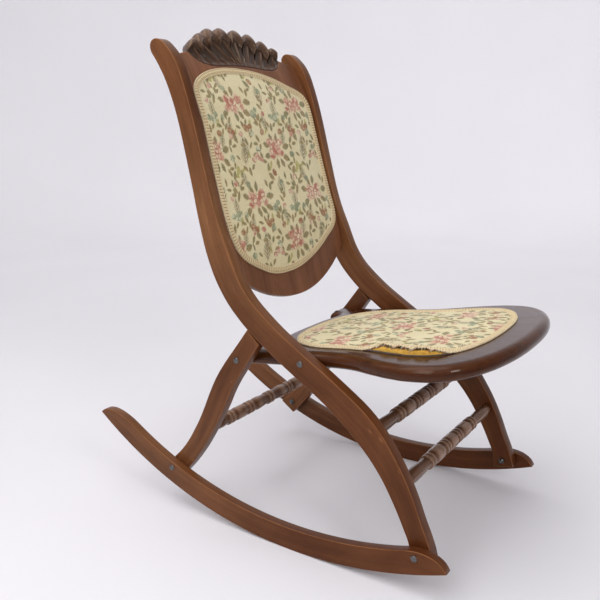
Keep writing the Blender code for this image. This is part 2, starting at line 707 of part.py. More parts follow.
# ---------------------------------------------------------------- build
clear_scene()
PARTS = new_collection(COLLECTION)
CUTTERS = new_collection("cutters")

WOOD = material("walnut", WALNUT, 0.35)
TURNED = material("turned_walnut", TURNED_WALNUT, 0.40)
DARK = material("dark_walnut", DARK_WALNUT, 0.45)
PEG = material("dowel", (0.45, 0.30, 0.16, 1.0), 0.6)
CLOTH = material("tapestry", TAPESTRY, 0.9)
BRAID = material("gimp", GIMP, 0.85)
FOAMED = material("foam", FOAM, 0.95)
METAL = material("dark_steel", STEEL, 0.4, 1.0)

DOWELS = [panel_point(z, -PANEL_THICK / 2) for z in DOWEL_HEIGHTS]

seat_hinge = empty("seat_hinge", SEAT_PIVOT)
leg_hinge = empty("leg_hinge", LEG_PIVOT)
rocker_hinges = {1: empty("left_rocker_hinge", FRONT_FOOT),
                 -1: empty("right_rocker_hinge", FRONT_FOOT)}
bpy.context.view_layer.update()

make_posts()
make_back()
make_rung("upper_front_rung", UPPER_RUNG, FRONT_RINGS, FRONT_BARREL)
make_rung("lower_front_rung", LOWER_RUNG, FRONT_RINGS, FRONT_BARREL)
make_seat(seat_hinge)
make_legs(leg_hinge)
make_rung("rear_rung", REAR_RUNG, REAR_RINGS, REAR_BARREL, leg_hinge)
make_rockers(rocker_hinges)
make_fasteners(seat_hinge, leg_hinge, rocker_hinges)
bpy.context.view_layer.update()
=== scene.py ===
"""Looks for the folding sewing rocker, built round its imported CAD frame.

Metres, +Z up, the chair faces -Y. Every shape starts from the frame's own solids: boards are cut
again from the solids' outlines with rounded, worn edges, turned pieces from their profiles, and
the upholstery is a cloth simulation over each pad's outline.
"""
import json
import math

import bmesh
import bpy
import numpy as np
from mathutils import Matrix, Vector


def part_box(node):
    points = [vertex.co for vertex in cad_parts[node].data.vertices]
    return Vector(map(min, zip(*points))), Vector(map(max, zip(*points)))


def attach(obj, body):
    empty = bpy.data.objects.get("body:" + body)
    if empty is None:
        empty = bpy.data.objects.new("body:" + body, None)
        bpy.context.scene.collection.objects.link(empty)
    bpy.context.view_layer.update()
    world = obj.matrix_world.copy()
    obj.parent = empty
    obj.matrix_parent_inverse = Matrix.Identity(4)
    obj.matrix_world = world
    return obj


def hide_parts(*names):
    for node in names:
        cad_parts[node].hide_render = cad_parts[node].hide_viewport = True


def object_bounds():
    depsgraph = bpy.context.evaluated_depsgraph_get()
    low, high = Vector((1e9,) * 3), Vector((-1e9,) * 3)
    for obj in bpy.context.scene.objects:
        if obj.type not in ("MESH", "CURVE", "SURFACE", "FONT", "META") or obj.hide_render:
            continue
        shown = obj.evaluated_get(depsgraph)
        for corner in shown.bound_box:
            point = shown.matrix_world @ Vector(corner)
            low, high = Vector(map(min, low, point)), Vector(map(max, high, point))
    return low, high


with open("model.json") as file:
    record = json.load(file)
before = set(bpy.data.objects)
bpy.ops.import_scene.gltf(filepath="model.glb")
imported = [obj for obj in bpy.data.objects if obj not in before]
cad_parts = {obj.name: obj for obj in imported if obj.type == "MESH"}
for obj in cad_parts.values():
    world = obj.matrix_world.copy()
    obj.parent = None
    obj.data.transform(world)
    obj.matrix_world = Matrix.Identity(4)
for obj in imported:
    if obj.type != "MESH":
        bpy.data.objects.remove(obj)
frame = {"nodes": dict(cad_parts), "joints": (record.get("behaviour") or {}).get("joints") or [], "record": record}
CAD_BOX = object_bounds()
NODES = frame["nodes"]
BODY_OF = {node: body for body, nodes in frame["record"]["behaviour"]["bodies"].items()
           for node in nodes}
SLOT_OF = {row["node"]: row["material_slot"] for row in frame["record"]["subparts"]}
JOINT = {joint["name"]: joint for joint in frame["joints"]}

# ---------------------------------------------------------------- sizes
SPACING = 0.006                  # between points along a smoothed outline
CORNER = math.radians(32)        # a sharper turn in an outline stays a corner
STRAIGHT = math.radians(0.4)     # a slighter turn is no turn at all
ARRIS = 0.0013                   # rounding of the sawn boards
PANEL_ARRIS = 0.0020
PANEL_THICK = 0.0120
SEAT_ARRIS_TOP = 0.0135          # the seat's rim is rounded nearly half round
SEAT_ARRIS_UNDER = 0.0100
EDGE_SUPPORT = 0.0008            # flat rim kept beside a rounded edge
BROAD = 25e-6                    # a face smaller than this may be the wall of a bore

BRAID_WIDTH = 0.0125
COVER_TUCK = 0.0050              # the cover runs this far under the braid from its outer edge
COVER_EDGE = 0.0018              # height of the cover's tacked edge over the wood
VOXEL = 0.0050                   # mesh size of a cushion before it is refined
CUSHION_DEPTH = 0.0120           # of the closed shape that is blown up, most of it in the board
BACK_RISE = 0.0085               # how far the simulation may lift a point of each cover
SEAT_RISE = 0.0165
PAD_GAP = 0.0012                 # the stuffing lies this far under its cover
CLOTH_FRAMES = 20
STITCH = 1e-6                    # vertices closer than this are one

TILE = (0.186, 0.172)            # repeat of the tapestry, across and along the cloth
MM = 0.001


# ---------------------------------------------------------------- reading the frame
def opened(mesh):
    """A copy of a mesh for editing."""
    bm = bmesh.new()
    bm.from_mesh(mesh)
    return bm


def put_back(bm, mesh):
    bm.to_mesh(mesh)
    bm.free()


def welded(node):
    """A CAD node's solid, whose facets share their vertices."""
    bm = opened(NODES[node].data)
    bmesh.ops.remove_doubles(bm, verts=bm.verts, dist=STITCH)
    return bm


def chain(bm, edges):
    """Closed loops of points made by the edges, the longest first."""
    bm.verts.index_update()
    links = {}
    for edge in edges:
        a, b = (v.index for v in edge.verts)
        links.setdefault(a, []).append(b)
        links.setdefault(b, []).append(a)
    bm.verts.ensure_lookup_table()
    loops = []
    while links:
        here = min(links)
        loop = []
        while here is not None:
            loop.append(here)
            ahead = [i for i in links.pop(here) if i in links]
            here = ahead[0] if ahead else None
        loops.append(np.array([bm.verts[i].co for i in loop]))
    return sorted(loops, key=perimeter, reverse=True)


def perimeter(points):
    return float(np.linalg.norm(np.roll(points, -1, 0) - points, axis=1).sum())


def section(node, point, normal):
    """The longest loop where a plane cuts a CAD node."""
    bm = welded(node)
    geometry = bm.verts[:] + bm.edges[:] + bm.faces[:]
    cut = bmesh.ops.bisect_plane(bm, geom=geometry, plane_co=point, plane_no=normal)
    edges = [e for e in cut["geom_cut"] if isinstance(e, bmesh.types.BMEdge)]
    loops = chain(bm, edges)
    bm.free()
    return loops[0]


def facing(node, direction):
    """The loops round the faces of a CAD node that face a direction, and the broad ones' points."""
    bm = welded(node)
    aim = Vector(direction).normalized()
    faces = {f for f in bm.faces if f.normal.dot(aim) > 0.6}
    edges = [e for e in bm.edges if sum(f in faces for f in e.link_faces) == 1]
    broad = [f for f in faces if f.calc_area() > BROAD]
    points = np.array(sorted({tuple(v.co) for f in broad for v in f.verts}))
    loops = chain(bm, edges)
    bm.free()
    return loops, points


def turned_profile(node):
    """(x, radius) down a piece turned about an axis along X, and that axis as (y, z)."""
    low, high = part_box(node)
    axis = ((low.y + high.y) / 2, (low.z + high.z) / 2)
    radii = {}
    for vertex in NODES[node].data.vertices:
        radius = math.hypot(vertex.co.y - axis[0], vertex.co.z - axis[1])
        radii.setdefault(round(vertex.co.x, 5), set()).add(round(radius, 5))
    return radii, axis


# ---------------------------------------------------------------- outlines
def hermite(places, values, at, monotone=False):
    """A smooth curve through values at rising places, read at other places.

    A monotone one never swings past its values.
    """
    slopes = np.gradient(values, places, axis=0)
    if monotone:
        steps = np.diff(values, axis=0) / np.diff(places)[:, None]
        before, after = steps[:-1], steps[1:]
        total = np.where(before * after > 0, before + after, 1.0)
        slopes[1:-1] = np.where(before * after > 0, 2 * before * after / total, 0.0)
        slopes[0], slopes[-1] = steps[0], steps[-1]
    spot = np.clip(np.searchsorted(places, at, side="right") - 1, 0, len(places) - 2)
    span = (places[spot + 1] - places[spot])[:, None]
    t = (at - places[spot])[:, None] / span
    return (values[spot] * (1 + 2 * t) * (1 - t) ** 2 + slopes[spot] * span * t * (1 - t) ** 2
            + values[spot + 1] * t * t * (3 - 2 * t) + slopes[spot + 1] * span * t * t * (t - 1))


def turns(loop):
    """How sharply a closed loop turns at each point, positive to the left."""
    before = loop - np.roll(loop, 1, 0)
    after = np.roll(loop, -1, 0) - loop
    cross = before[:, 0] * after[:, 1] - before[:, 1] * after[:, 0]
    return np.arctan2(cross, (before * after).sum(1))


def lengths_along(path):
    """The distance from a path's start to each of its points."""
    return np.concatenate([[0], np.cumsum(np.linalg.norm(np.diff(path, axis=0), axis=1))])


def read_at(path, at):
    """The places at given distances along a flat path."""
    places = lengths_along(path)
    return np.stack([np.interp(at, places, path[:, i]) for i in (0, 1)], 1)


def signed_area(loop):
    """The area in a flat loop, positive if it runs anticlockwise."""
    x, y = loop[:, 0], loop[:, 1]
    return (x * np.roll(y, -1) - np.roll(x, -1) * y).sum() / 2


def directions(loop):
    """The way a closed loop runs at each point, as unit steps."""
    ahead = np.roll(loop, -1, 0) - np.roll(loop, 1, 0)
    return ahead / np.linalg.norm(ahead, axis=1)[:, None]


def smooth_loop(loop, spacing=SPACING, corner=CORNER):
    """A closed outline resampled anticlockwise, smooth between its corners."""
    if signed_area(loop) < 0:
        loop = loop[::-1]
    for shortest in (0.0001, 0.0012):
        step = np.linalg.norm(np.roll(loop, -1, 0) - loop, axis=1)
        loop = loop[(step > shortest) | (np.abs(turns(loop)) > corner)]
    loop = loop[np.abs(turns(loop)) > STRAIGHT]
    corners = [int(i) for i in np.nonzero(np.abs(turns(loop)) > corner)[0]]
    count = len(loop)
    if not corners:
        ring = np.concatenate([loop[-3:], loop, loop[:4]])
        places = lengths_along(ring)
        start, stop = places[3], places[3 + count]
        number = round((stop - start) / spacing)
        return hermite(places, ring, np.linspace(start, stop, number, endpoint=False))
    runs = []
    for first, last in zip(corners, corners[1:] + [corners[0] + count]):
        run = loop[np.arange(first, last + 1) % count]
        places = lengths_along(run)
        number = max(1, round(places[-1] / spacing))
        at = np.linspace(0, places[-1], number, endpoint=False)
        runs.append(hermite(places, run, at) if len(run) > 2 else
                    run[0] + (run[1] - run[0]) * (at / places[-1])[:, None])
    return np.concatenate(runs)


def inset(loop, distance):
    """An anticlockwise outline moved inwards, mitred at its corners."""
    ahead = np.roll(loop, -1, 0) - loop
    ahead /= np.linalg.norm(ahead, axis=1)[:, None]
    normal = np.stack([-ahead[:, 1], ahead[:, 0]], 1)
    both = normal + np.roll(normal, 1, 0)
    both /= np.maximum((both * normal).sum(1), 0.35)[:, None]
    return loop + both * distance


def spine_of(loop, count=48):
    """The middle line of a long board, from one end to the other."""
    middle = loop.mean(0)
    _, _, rows = np.linalg.svd(loop - middle, full_matrices=False)
    along = (loop - middle) @ rows[0]
    first, last = int(along.argmin()), int(along.argmax())
    sides = []
    for start, stop in ((first, last), (last, first)):
        side = loop[np.arange(start, stop + 1 + (len(loop) if stop < start else 0)) % len(loop)]
        sides.append(read_at(side, np.linspace(0, lengths_along(side)[-1], count)))
    return (sides[0] + sides[1][::-1]) / 2


def along_spine(spine, points):
    """Each point's distance along the middle line and to the side of it."""
    start, step = spine[:-1], np.diff(spine, axis=0)
    length = np.linalg.norm(step, axis=1)
    places = lengths_along(spine)[:-1]
    rel = points[:, None, :] - start[None]
    t = np.clip((rel * step[None]).sum(2) / length ** 2, 0, 1)
    gap = rel - t[..., None] * step[None]
    near = np.linalg.norm(gap, axis=2).argmin(1)
    rows = np.arange(len(points))
    side = (gap[rows, near, 1] * step[near, 0] - gap[rows, near, 0] * step[near, 1])
    return places[near] + t[rows, near] * length[near], side / length[near]


# ---------------------------------------------------------------- meshes
def in_scene(name, data):
    obj = bpy.data.objects.new(name, data)
    bpy.context.scene.collection.objects.link(obj)
    return obj


def new_mesh(name, verts, faces):
    mesh = bpy.data.meshes.new(name)
    mesh.from_pydata(verts, [], faces)
    return mesh


def new_object(name, mesh, mat, node, replaces=True):
    """A piece on a CAD node's body. It also replaces the node, unless told not to."""
    obj = in_scene(name, mesh)
    mesh.materials.append(mat)
    mesh.shade_smooth()
    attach(obj, BODY_OF[node])
    if replaces:
        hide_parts(node)
    return obj


def attribute(mesh, name, values):
    """Give each point of a mesh a value, or three, that its material can read."""
    values = np.asarray(values, np.float32)
    if values.ndim == 2:
        mesh.attributes.new(name, "FLOAT_VECTOR", "POINT")
        mesh.attributes[name].data.foreach_set("vector", values.ravel())
    else:
        mesh.attributes.new(name, "FLOAT", "POINT")
        mesh.attributes[name].data.foreach_set("value", values)


def points_of(mesh):
    flat = np.empty(len(mesh.vertices) * 3, np.float32)
    mesh.vertices.foreach_get("co", flat)
    return flat.reshape(-1, 3).astype(float)


def move_points(mesh, points):
    mesh.vertices.foreach_set("co", np.asarray(points, np.float32).ravel())
    mesh.update()


def plate(name, loop, low, high, under, over, segments=4):
    """A flat board between two heights, with its edges rounded by under and over.

    The mesh's "edge" attribute is 1 on the crown of each rounded edge and 0 off it.
    """
    rings = []
    for sign, height, radius in ((1, high, over), (-1, low, under)):
        half = [(radius + EDGE_SUPPORT, height, 0.0)]
        for i in range(segments + 1):
            angle = math.pi / 2 * (1 - i / segments)
            half.append((radius * (1 - math.cos(angle)),
                         height - sign * radius * (1 - math.sin(angle)),
                         math.sin(2 * angle)))
        rings += half if sign > 0 else half[::-1]
    count = len(loop)
    verts, wear = [], []
    for distance, height, crown in rings:
        ring = inset(loop, distance)
        verts += [(p[0], p[1], height) for p in ring]
        wear += [crown] * count
    faces = [tuple(range(count))]
    for r in range(len(rings) - 1):
        for i in range(count):
            j = (i + 1) % count
            faces.append((r * count + j, r * count + i, (r + 1) * count + i, (r + 1) * count + j))
    last = (len(rings) - 1) * count
    faces.append(tuple(last + i for i in reversed(range(count))))
    mesh = new_mesh(name, verts, faces)
    attribute(mesh, "edge", wear)
    return mesh


def slice_mesh(mesh, axis, spacing):
    """Cut a mesh into strips across an axis, so that it can be bent."""
    bm = opened(mesh)
    low = min(v.co[axis] for v in bm.verts)
    high = max(v.co[axis] for v in bm.verts)
    normal = Vector([float(i == axis) for i in range(3)])
    for k in range(1, int((high - low) / spacing) + 1):
        bmesh.ops.bisect_plane(bm, geom=bm.verts[:] + bm.edges[:] + bm.faces[:],
                               plane_co=normal * (low + k * spacing), plane_no=normal)
    put_back(bm, mesh)


def face_outwards(mesh):
    bm = opened(mesh)
    bmesh.ops.recalc_face_normals(bm, faces=bm.faces)
    put_back(bm, mesh)


def lathe(name, profile, axis, steps=40):
    """A turned mesh about an axis along X, from (x, radius) places. A radius of 0 closes an end."""
    verts, faces, rings = [], [], []
    for x, radius in profile:
        rings.append(len(verts))
        if radius == 0:
            verts.append((x, axis[0], axis[1]))
            continue
        for i in range(steps):
            angle = 2 * math.pi * i / steps
            verts.append((x, axis[0] + radius * math.cos(angle), axis[1] + radius * math.sin(angle)))
    for k in range(len(profile) - 1):
        a, b = rings[k], rings[k + 1]
        for i in range(steps):
            j = (i + 1) % steps
            if profile[k][1] == 0:
                faces.append((a, b + i, b + j))
            elif profile[k + 1][1] == 0:
                faces.append((a + i, b, a + j))
            else:
                faces.append((a + i, b + i, b + j, a + j))
    mesh = new_mesh(name, verts, faces)
    face_outwards(mesh)
    return mesh


def tube(verts, faces, path, radius, sides=5):
    """Add a round thread along a path to lists of vertices and faces."""
    ahead = np.gradient(path, axis=0)
    ahead /= np.linalg.norm(ahead, axis=1)[:, None]
    side = np.cross(ahead, [0.0, 0.0, 1.0])
    steep = np.linalg.norm(side, axis=1) < 0.05
    side[steep] = np.cross(ahead[steep], [0.0, 1.0, 0.0])
    side /= np.linalg.norm(side, axis=1)[:, None]
    over = np.cross(side, ahead)
    first = len(verts)
    for k, place in enumerate(path):
        for i in range(sides):
            angle = 2 * math.pi * i / sides
            spot = place + radius * (side[k] * math.cos(angle) + over[k] * math.sin(angle))
            verts.append(tuple(spot))
    last = first + (len(path) - 1) * sides
    for a in range(first, last, sides):
        for i in range(sides):
            j = (i + 1) % sides
            faces.append((a + i, a + j, a + sides + j, a + sides + i))
    faces.append(tuple(first + i for i in reversed(range(sides))))
    faces.append(tuple(last + i for i in range(sides)))


# ---------------------------------------------------------------- node helpers
class Tree:
    """A material's node tree, built by short calls.

    An input is named by its socket, or by i and its number.
    """

    def __init__(self, name):
        self.mat = bpy.data.materials.new(name)
        self.mat.use_nodes = True
        self.nodes = self.mat.node_tree.nodes
        self.links = self.mat.node_tree.links
        self.shader = self.nodes["Principled BSDF"]

    def node(self, kind, settings=None, **inputs):
        made = self.nodes.new("ShaderNode" + kind)
        for key, value in (settings or {}).items():
            setattr(made, key, value)
        for key, value in inputs.items():
            self.feed(made.inputs[int(key[1:]) if key[1:].isdigit() else key.replace("_", " ")],
                      value)
        return made

    def feed(self, socket, value):
        if isinstance(value, bpy.types.NodeSocket):
            self.links.new(value, socket)
        else:
            socket.default_value = value

    def math(self, operation, a, b=0.0, c=0.5, clamp=False):
        settings = {"operation": operation, "use_clamp": clamp}
        return self.node("Math", settings, i0=a, i1=b, i2=c).outputs[0]

    def times(self, a, b, clamp=False):
        return self.math("MULTIPLY", a, b, clamp=clamp)

    def plus(self, a, b, clamp=False):
        return self.math("ADD", a, b, clamp=clamp)

    def minus(self, a, b):
        return self.math("SUBTRACT", a, b)

    def spread(self, value, low, high, to_low=0.0, to_high=1.0):
        """A value from low to high, spread over another range and held at its ends."""
        return self.node("MapRange", None, Value=value, i1=low, i2=high, i3=to_low,
                         i4=to_high).outputs[0]

    def place(self):
        return self.node("TexCoord").outputs["Object"]

    def vector(self, operation, a, b=(0.0, 0.0, 0.0)):
        made = self.node("VectorMath", {"operation": operation}, i0=a, i1=b)
        return made.outputs["Value" if operation in ("DOT_PRODUCT", "LENGTH") else "Vector"]

    def coordinate(self, name):
        return self.node("Attribute", {"attribute_name": name}).outputs["Vector"]

    def value(self, name):
        return self.node("Attribute", {"attribute_name": name}).outputs["Fac"]

    def noise(self, vector, scale, detail=2.0, roughness=0.5, distortion=0.0):
        made = self.node("TexNoise", {"noise_dimensions": "3D"}, Vector=vector, Scale=scale,
                         Detail=detail, Roughness=roughness, Distortion=distortion)
        return made.outputs["Fac"]

    def ramp(self, value, *stops):
        """Remap a value through (position, colour or grey) stops."""
        made = self.node("ValToRGB", None, Fac=value)
        band = made.color_ramp
        while len(band.elements) < len(stops):
            band.elements.new(0.5)
        for element, (place, colour) in zip(band.elements, stops):
            element.position = place
            element.color = colour if isinstance(colour, tuple) else (colour,) * 3 + (1.0,)
        return made.outputs["Color"]

    def mix(self, factor, a, b, blend="MIX"):
        made = self.node("Mix", {"data_type": "RGBA", "blend_type": blend})
        self.feed(made.inputs["Factor"], factor)
        self.feed(made.inputs[6], a)
        self.feed(made.inputs[7], b)
        return made.outputs[2]

    def shaded(self, colour, by):
        return self.mix(1.0, colour, by, "MULTIPLY")

    def bump(self, height, strength, distance, after=None):
        made = self.node("Bump", None, Strength=strength, Distance=distance, Height=height)
        if after is not None:
            self.feed(made.inputs["Normal"], after)
        return made.outputs["Normal"]

    def finish(self, colour, roughness, normal, **constants):
        self.feed(self.shader.inputs["Base Color"], colour)
        self.feed(self.shader.inputs["Roughness"], roughness)
        self.feed(self.shader.inputs["Normal"], normal)
        for key, value in constants.items():
            self.shader.inputs[key.replace("_", " ")].default_value = value
        return self.mat


def rgb(red, green, blue):
    return (red, green, blue, 1.0)


def tinted(colour, red, green, blue):
    """A colour with each channel multiplied."""
    return rgb(*(min(part * share, 1.0) for part, share in zip(colour, (red, green, blue))))


# ---------------------------------------------------------------- wood
SHELLAC = rgb(1.0, 0.74, 0.5)


def wood(name, dark, middle, light, gloss, contrast, worn, shine=0.28, coat=0.05):
    """Shellacked walnut, with a roughness, a contrast of grain and an amount of wear.

    The mesh's "grain" attribute runs along, across and through the board. "edge" is where it is
    rubbed, "fade" where a painted sheen makes it paler and greyer in place of the finish's
    reflection, and "recess" where dirt has gathered.
    """
    tree = Tree(name)
    grain = tree.coordinate("grain")

    def figure(source, stretch, detail, roughness=0.5):
        """Noise with so many cells to a metre along, across and through the board."""
        return tree.noise(tree.vector("MULTIPLY", source, stretch), 1.0, detail, roughness)

    drift = figure(grain, (2.2, 14.0, 14.0), 2.0)
    bend = tree.node("CombineXYZ", None, Y=tree.times(drift, 0.024)).outputs[0]
    bent = tree.vector("ADD", grain, bend)
    bands = figure(bent, (2.5, 85.0, 60.0), 3.0, 0.55)
    streaks = figure(bent, (9.0, 420.0, 420.0), 4.0, 0.6)
    pores = figure(bent, (70.0, 1500.0, 1500.0), 2.0, 0.7)
    patches = figure(grain, (5.0, 16.0, 16.0), 3.0, 0.6)

    tone = tree.plus(tree.times(bands, 0.70), tree.times(streaks, 0.30))
    span = 0.22 / contrast
    colour = tree.ramp(tone, (0.5 - span, dark), (0.5, middle), (0.5 + span, light))
    shade = tree.ramp(patches, (0.30, rgb(0.74, 0.68, 0.64)), (0.52, rgb(1.0, 1.0, 1.0)),
                      (0.75, rgb(1.16, 1.1, 1.02)))
    colour = tree.shaded(colour, shade)
    pits = tree.ramp(pores, (0.36, 1.0), (0.44, 0.0))
    colour = tree.mix(tree.times(pits, 0.40), colour, tinted(dark, 0.45, 0.45, 0.45))

    # a painted sheen, paler and greyer, where the "fade" attribute says so, standing for the finish's reflection;
    # and dirty in the carving's cuts
    painted_sheen_colour = tree.shaded(colour, rgb(2.3, 3.6, 5.2))
    painted_sheen = tree.plus(tree.value("painted_sheen"), tree.times(tree.minus(patches, 0.5), 0.8), True)
    painted_sheen = tree.times(painted_sheen, tree.math("GREATER_THAN", tree.value("painted_sheen"), 0.001))
    colour = tree.mix(painted_sheen, colour, painted_sheen_colour)
    dirt = tree.times(tree.value("recess"), 0.80, True)
    colour = tree.mix(dirt, colour, tinted(dark, 0.30, 0.30, 0.30))

    # rubbed arrises, broken up along their length
    rub = figure(grain, (26.0, 60.0, 60.0), 3.0, 0.7)
    rub = tree.ramp(rub, (0.34, 0.30), (0.54, 1.0))
    rubbed = tree.times(tree.value("edge"), rub)
    pale = tinted(light, 2.1, 2.7, 3.4)
    colour = tree.mix(tree.times(rubbed, 0.62 * worn), colour, pale)

    # small dents and scuffs
    spots = tree.node("TexVoronoi", {"feature": "F1"}, Scale=1.0,
                      Vector=tree.vector("MULTIPLY", grain, (24.0, 60.0, 60.0)))
    scuff = tree.ramp(spots.outputs["Distance"], (0.07, 1.0), (0.15, 0.0))
    chosen = tree.ramp(tree.noise(grain, 21.0, 1.0), (0.56, 0.0), (0.60, 1.0))
    scuff = tree.times(scuff, chosen)
    colour = tree.mix(tree.times(scuff, 0.42 * worn), colour, pale)

    smears = figure(grain, (12.0, 40.0, 40.0), 4.0, 0.65)
    rough = tree.spread(smears, 0.0, 1.0, gloss - 0.06, gloss + 0.12)
    rough = tree.plus(rough, tree.times(pits, 0.12))
    rough = tree.plus(rough, tree.times(dirt, 0.25))

    swell = figure(grain, (14.0, 34.0, 34.0), 2.0)
    normal = tree.bump(swell, 0.22, 0.0016)
    normal = tree.bump(streaks, 0.16, 0.0004, normal)
    normal = tree.bump(tree.plus(pits, scuff), -0.30, 0.0003, normal)
    return tree.finish(colour, rough, normal, Coat_Weight=coat, Coat_Roughness=0.08,
                       Specular_IOR_Level=shine, Specular_Tint=SHELLAC)


WALNUT = wood("walnut", rgb(0.058, 0.015, 0.0042), rgb(0.09, 0.025, 0.007),
              rgb(0.124, 0.038, 0.011), 0.31, 0.95, 1.5)
SEAT_WALNUT = wood("seat_walnut", rgb(0.026, 0.0062, 0.0015), rgb(0.045, 0.0115, 0.0028),
                   rgb(0.068, 0.019, 0.0048), 0.18, 0.9, 0.40, 0.12, 0.30)
PANEL_WALNUT = wood("panel_walnut", rgb(0.13, 0.049, 0.022), rgb(0.195, 0.078, 0.036),
                    rgb(0.265, 0.112, 0.054), 0.28, 0.8, 0.5)
TURNED_WALNUT = wood("turned_walnut", rgb(0.075, 0.031, 0.016), rgb(0.13, 0.058, 0.03),
                     rgb(0.2, 0.094, 0.05), 0.20, 0.9, 0.9, 0.45, 0.20)
CREST_WALNUT = wood("crest_walnut", rgb(0.05, 0.024, 0.0135), rgb(0.086, 0.042, 0.024),
                    rgb(0.13, 0.067, 0.04), 0.18, 0.8, 1.0, 0.50, 0.15)


def steel():
    """Darkened steel with a little wear."""
    tree = Tree("dark_steel")
    place = tree.place()
    wear = tree.noise(place, 900.0, 3.0, 0.6)
    colour = tree.ramp(wear, (0.35, rgb(0.06, 0.058, 0.058)), (0.62, rgb(0.21, 0.205, 0.2)))
    rough = tree.spread(wear, 0.0, 1.0, 0.18, 0.40)
    normal = tree.bump(tree.noise(place, 700.0, 2.0), 0.25, 0.0003)
    return tree.finish(colour, rough, normal, Metallic=1.0)


def pale_wood():
    tree = Tree("dowel_wood")
    place = tree.place()
    grain = tree.noise(tree.vector("MULTIPLY", place, (60.0, 900.0, 900.0)), 1.0, 3.0)
    colour = tree.ramp(grain, (0.35, rgb(0.3, 0.19, 0.1)), (0.65, rgb(0.5, 0.34, 0.18)))
    normal = tree.bump(grain, 0.3, 0.0002)
    return tree.finish(colour, 0.6, normal)


STEEL = steel()
DOWEL = pale_wood()


# ---------------------------------------------------------------- flat places
SEAT_PIVOT = Vector(JOINT["seat_fold"]["pos_m"])
LEG_PIVOT = Vector(JOINT["leg_fold"]["pos_m"])
SEAT_BACKWARDS = (LEG_PIVOT - SEAT_PIVOT).normalized()
SEAT_UP = Vector((1.0, 0.0, 0.0)).cross(SEAT_BACKWARDS)
SEAT_AXES = np.array([(1.0, 0.0, 0.0), SEAT_BACKWARDS, SEAT_UP])
SEAT_ORIGIN = np.array(SEAT_PIVOT)
CREST_PROUD = 0.0015             # the crest stands this far in front of the panel
TOP_SLOPE = 0.78                 # how far the panel's top leans back, to its height
PAST_END = 0.004                 # the curve is known this far past the panel's ends


def to_seat(points):
    """World points as across, rearwards and up from the middle of the seat board."""
    return (points - SEAT_ORIGIN) @ SEAT_AXES.T


def from_seat(points):
    return points @ SEAT_AXES + SEAT_ORIGIN


def panel_curve():
    """The panel's front face from the side, as y over z, and the arc length up it."""
    _, face = facing("back_panel", (0, -1, 0.35))
    _, carved = facing("carved_crest", (0, -1, 0.6))
    carved = carved[carved[:, 2] > face[:, 2].max()]
    lean = 1 / math.hypot(1, TOP_SLOPE)
    carved = carved + np.array([0, lean, -TOP_SLOPE * lean]) * CREST_PROUD
    both = np.concatenate([face, carved])
    middle = both[:, 2].mean()
    fit = np.polynomial.Polynomial.fit(both[:, 2] - middle, both[:, 1], 6)
    heights = np.linspace(both[:, 2].min() - PAST_END, both[:, 2].max() + PAST_END, 400)
    depths = fit(heights - middle)
    arc = np.concatenate([[0], np.cumsum(np.hypot(np.diff(heights), np.diff(depths)))])
    return heights, depths, arc


PANEL_Z, PANEL_Y, PANEL_ARC = panel_curve()
PANEL_SLOPE = np.gradient(PANEL_Y, PANEL_Z)


def to_panel(points):
    """World points on the panel's face as across, up the curve and nothing in front."""
    up = np.interp(points[:, 2], PANEL_Z, PANEL_ARC)
    return np.stack([points[:, 0], up, np.zeros(len(points))], 1)


def from_panel(points):
    """Across, up the curve and forward of the face, as world points."""
    z = np.interp(points[:, 1], PANEL_ARC, PANEL_Z)
    y = np.interp(z, PANEL_Z, PANEL_Y)
    slope = np.interp(z, PANEL_Z, PANEL_SLOPE)
    length = np.hypot(1.0, slope)
    return np.stack([points[:, 0], y - points[:, 2] / length,
                     z + points[:, 2] * slope / length], 1)


def from_side(points):
    """Side-view y, z and x as world points."""
    return points[:, [2, 0, 1]]


def place_mesh(mesh, mapping):
    move_points(mesh, mapping(points_of(mesh)))


# ---------------------------------------------------------------- boards
SHEEN_HEIGHT = 0.56              # where the painted sheen on the posts is strongest, and how far about it
SHEEN_SPAN = 0.17
LEAST_SHEEN = 0.002               # this marks the boards whose patches may take the painted sheen at all


def painted_sheen_share(points):
    """How much of a painted sheen, paler and greyer, stands in for the finish's reflection: most at the middle of
    the posts, and a little at the back.
    """
    waist = np.exp(-((points[:, 2] - SHEEN_HEIGHT) / SHEEN_SPAN) ** 2)
    behind = 0.30 * np.clip((points[:, 1] + 0.10) / 0.30, 0, 1)
    return np.maximum(waist * 0.85, behind) + LEAST_SHEEN


def side_board(node, seed):
    """A post, leg or rocker, cut again from its outline with rounded arrises."""
    low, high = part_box(node)
    loop = smooth_loop(section(node, ((low.x + high.x) / 2, 0, 0), (1, 0, 0))[:, 1:])
    mesh = plate(node + "_board", loop, low.x, high.x, ARRIS, ARRIS)
    lengthwise = 0 if high.y - low.y > high.z - low.z else 1
    slice_mesh(mesh, lengthwise, 0.018)
    points = points_of(mesh)
    along, side = along_spine(spine_of(loop), points[:, :2])
    attribute(mesh, "grain", np.stack([along + seed, side + seed * 0.37, points[:, 2]], 1))
    place_mesh(mesh, from_side)
    # a painted sheen: paler, greyer colour where the finish's broad reflection would be
    attribute(mesh, "painted_sheen", painted_sheen_share(points_of(mesh)))
    new_object(node + "_board", mesh, WALNUT, node)


def sawn_board(node, loop, heights, arrises, segments, strips, mapping, seed, mat):
    """A board with its grain up the flat outline, bent or turned into place by a mapping."""
    mesh = plate(node + "_board", loop, *heights, *arrises, segments)
    slice_mesh(mesh, 1, strips)
    points = points_of(mesh)
    attribute(mesh, "grain", np.stack([points[:, 1] + seed, points[:, 0], points[:, 2]], 1))
    place_mesh(mesh, mapping)
    new_object(node + "_board", mesh, mat, node)


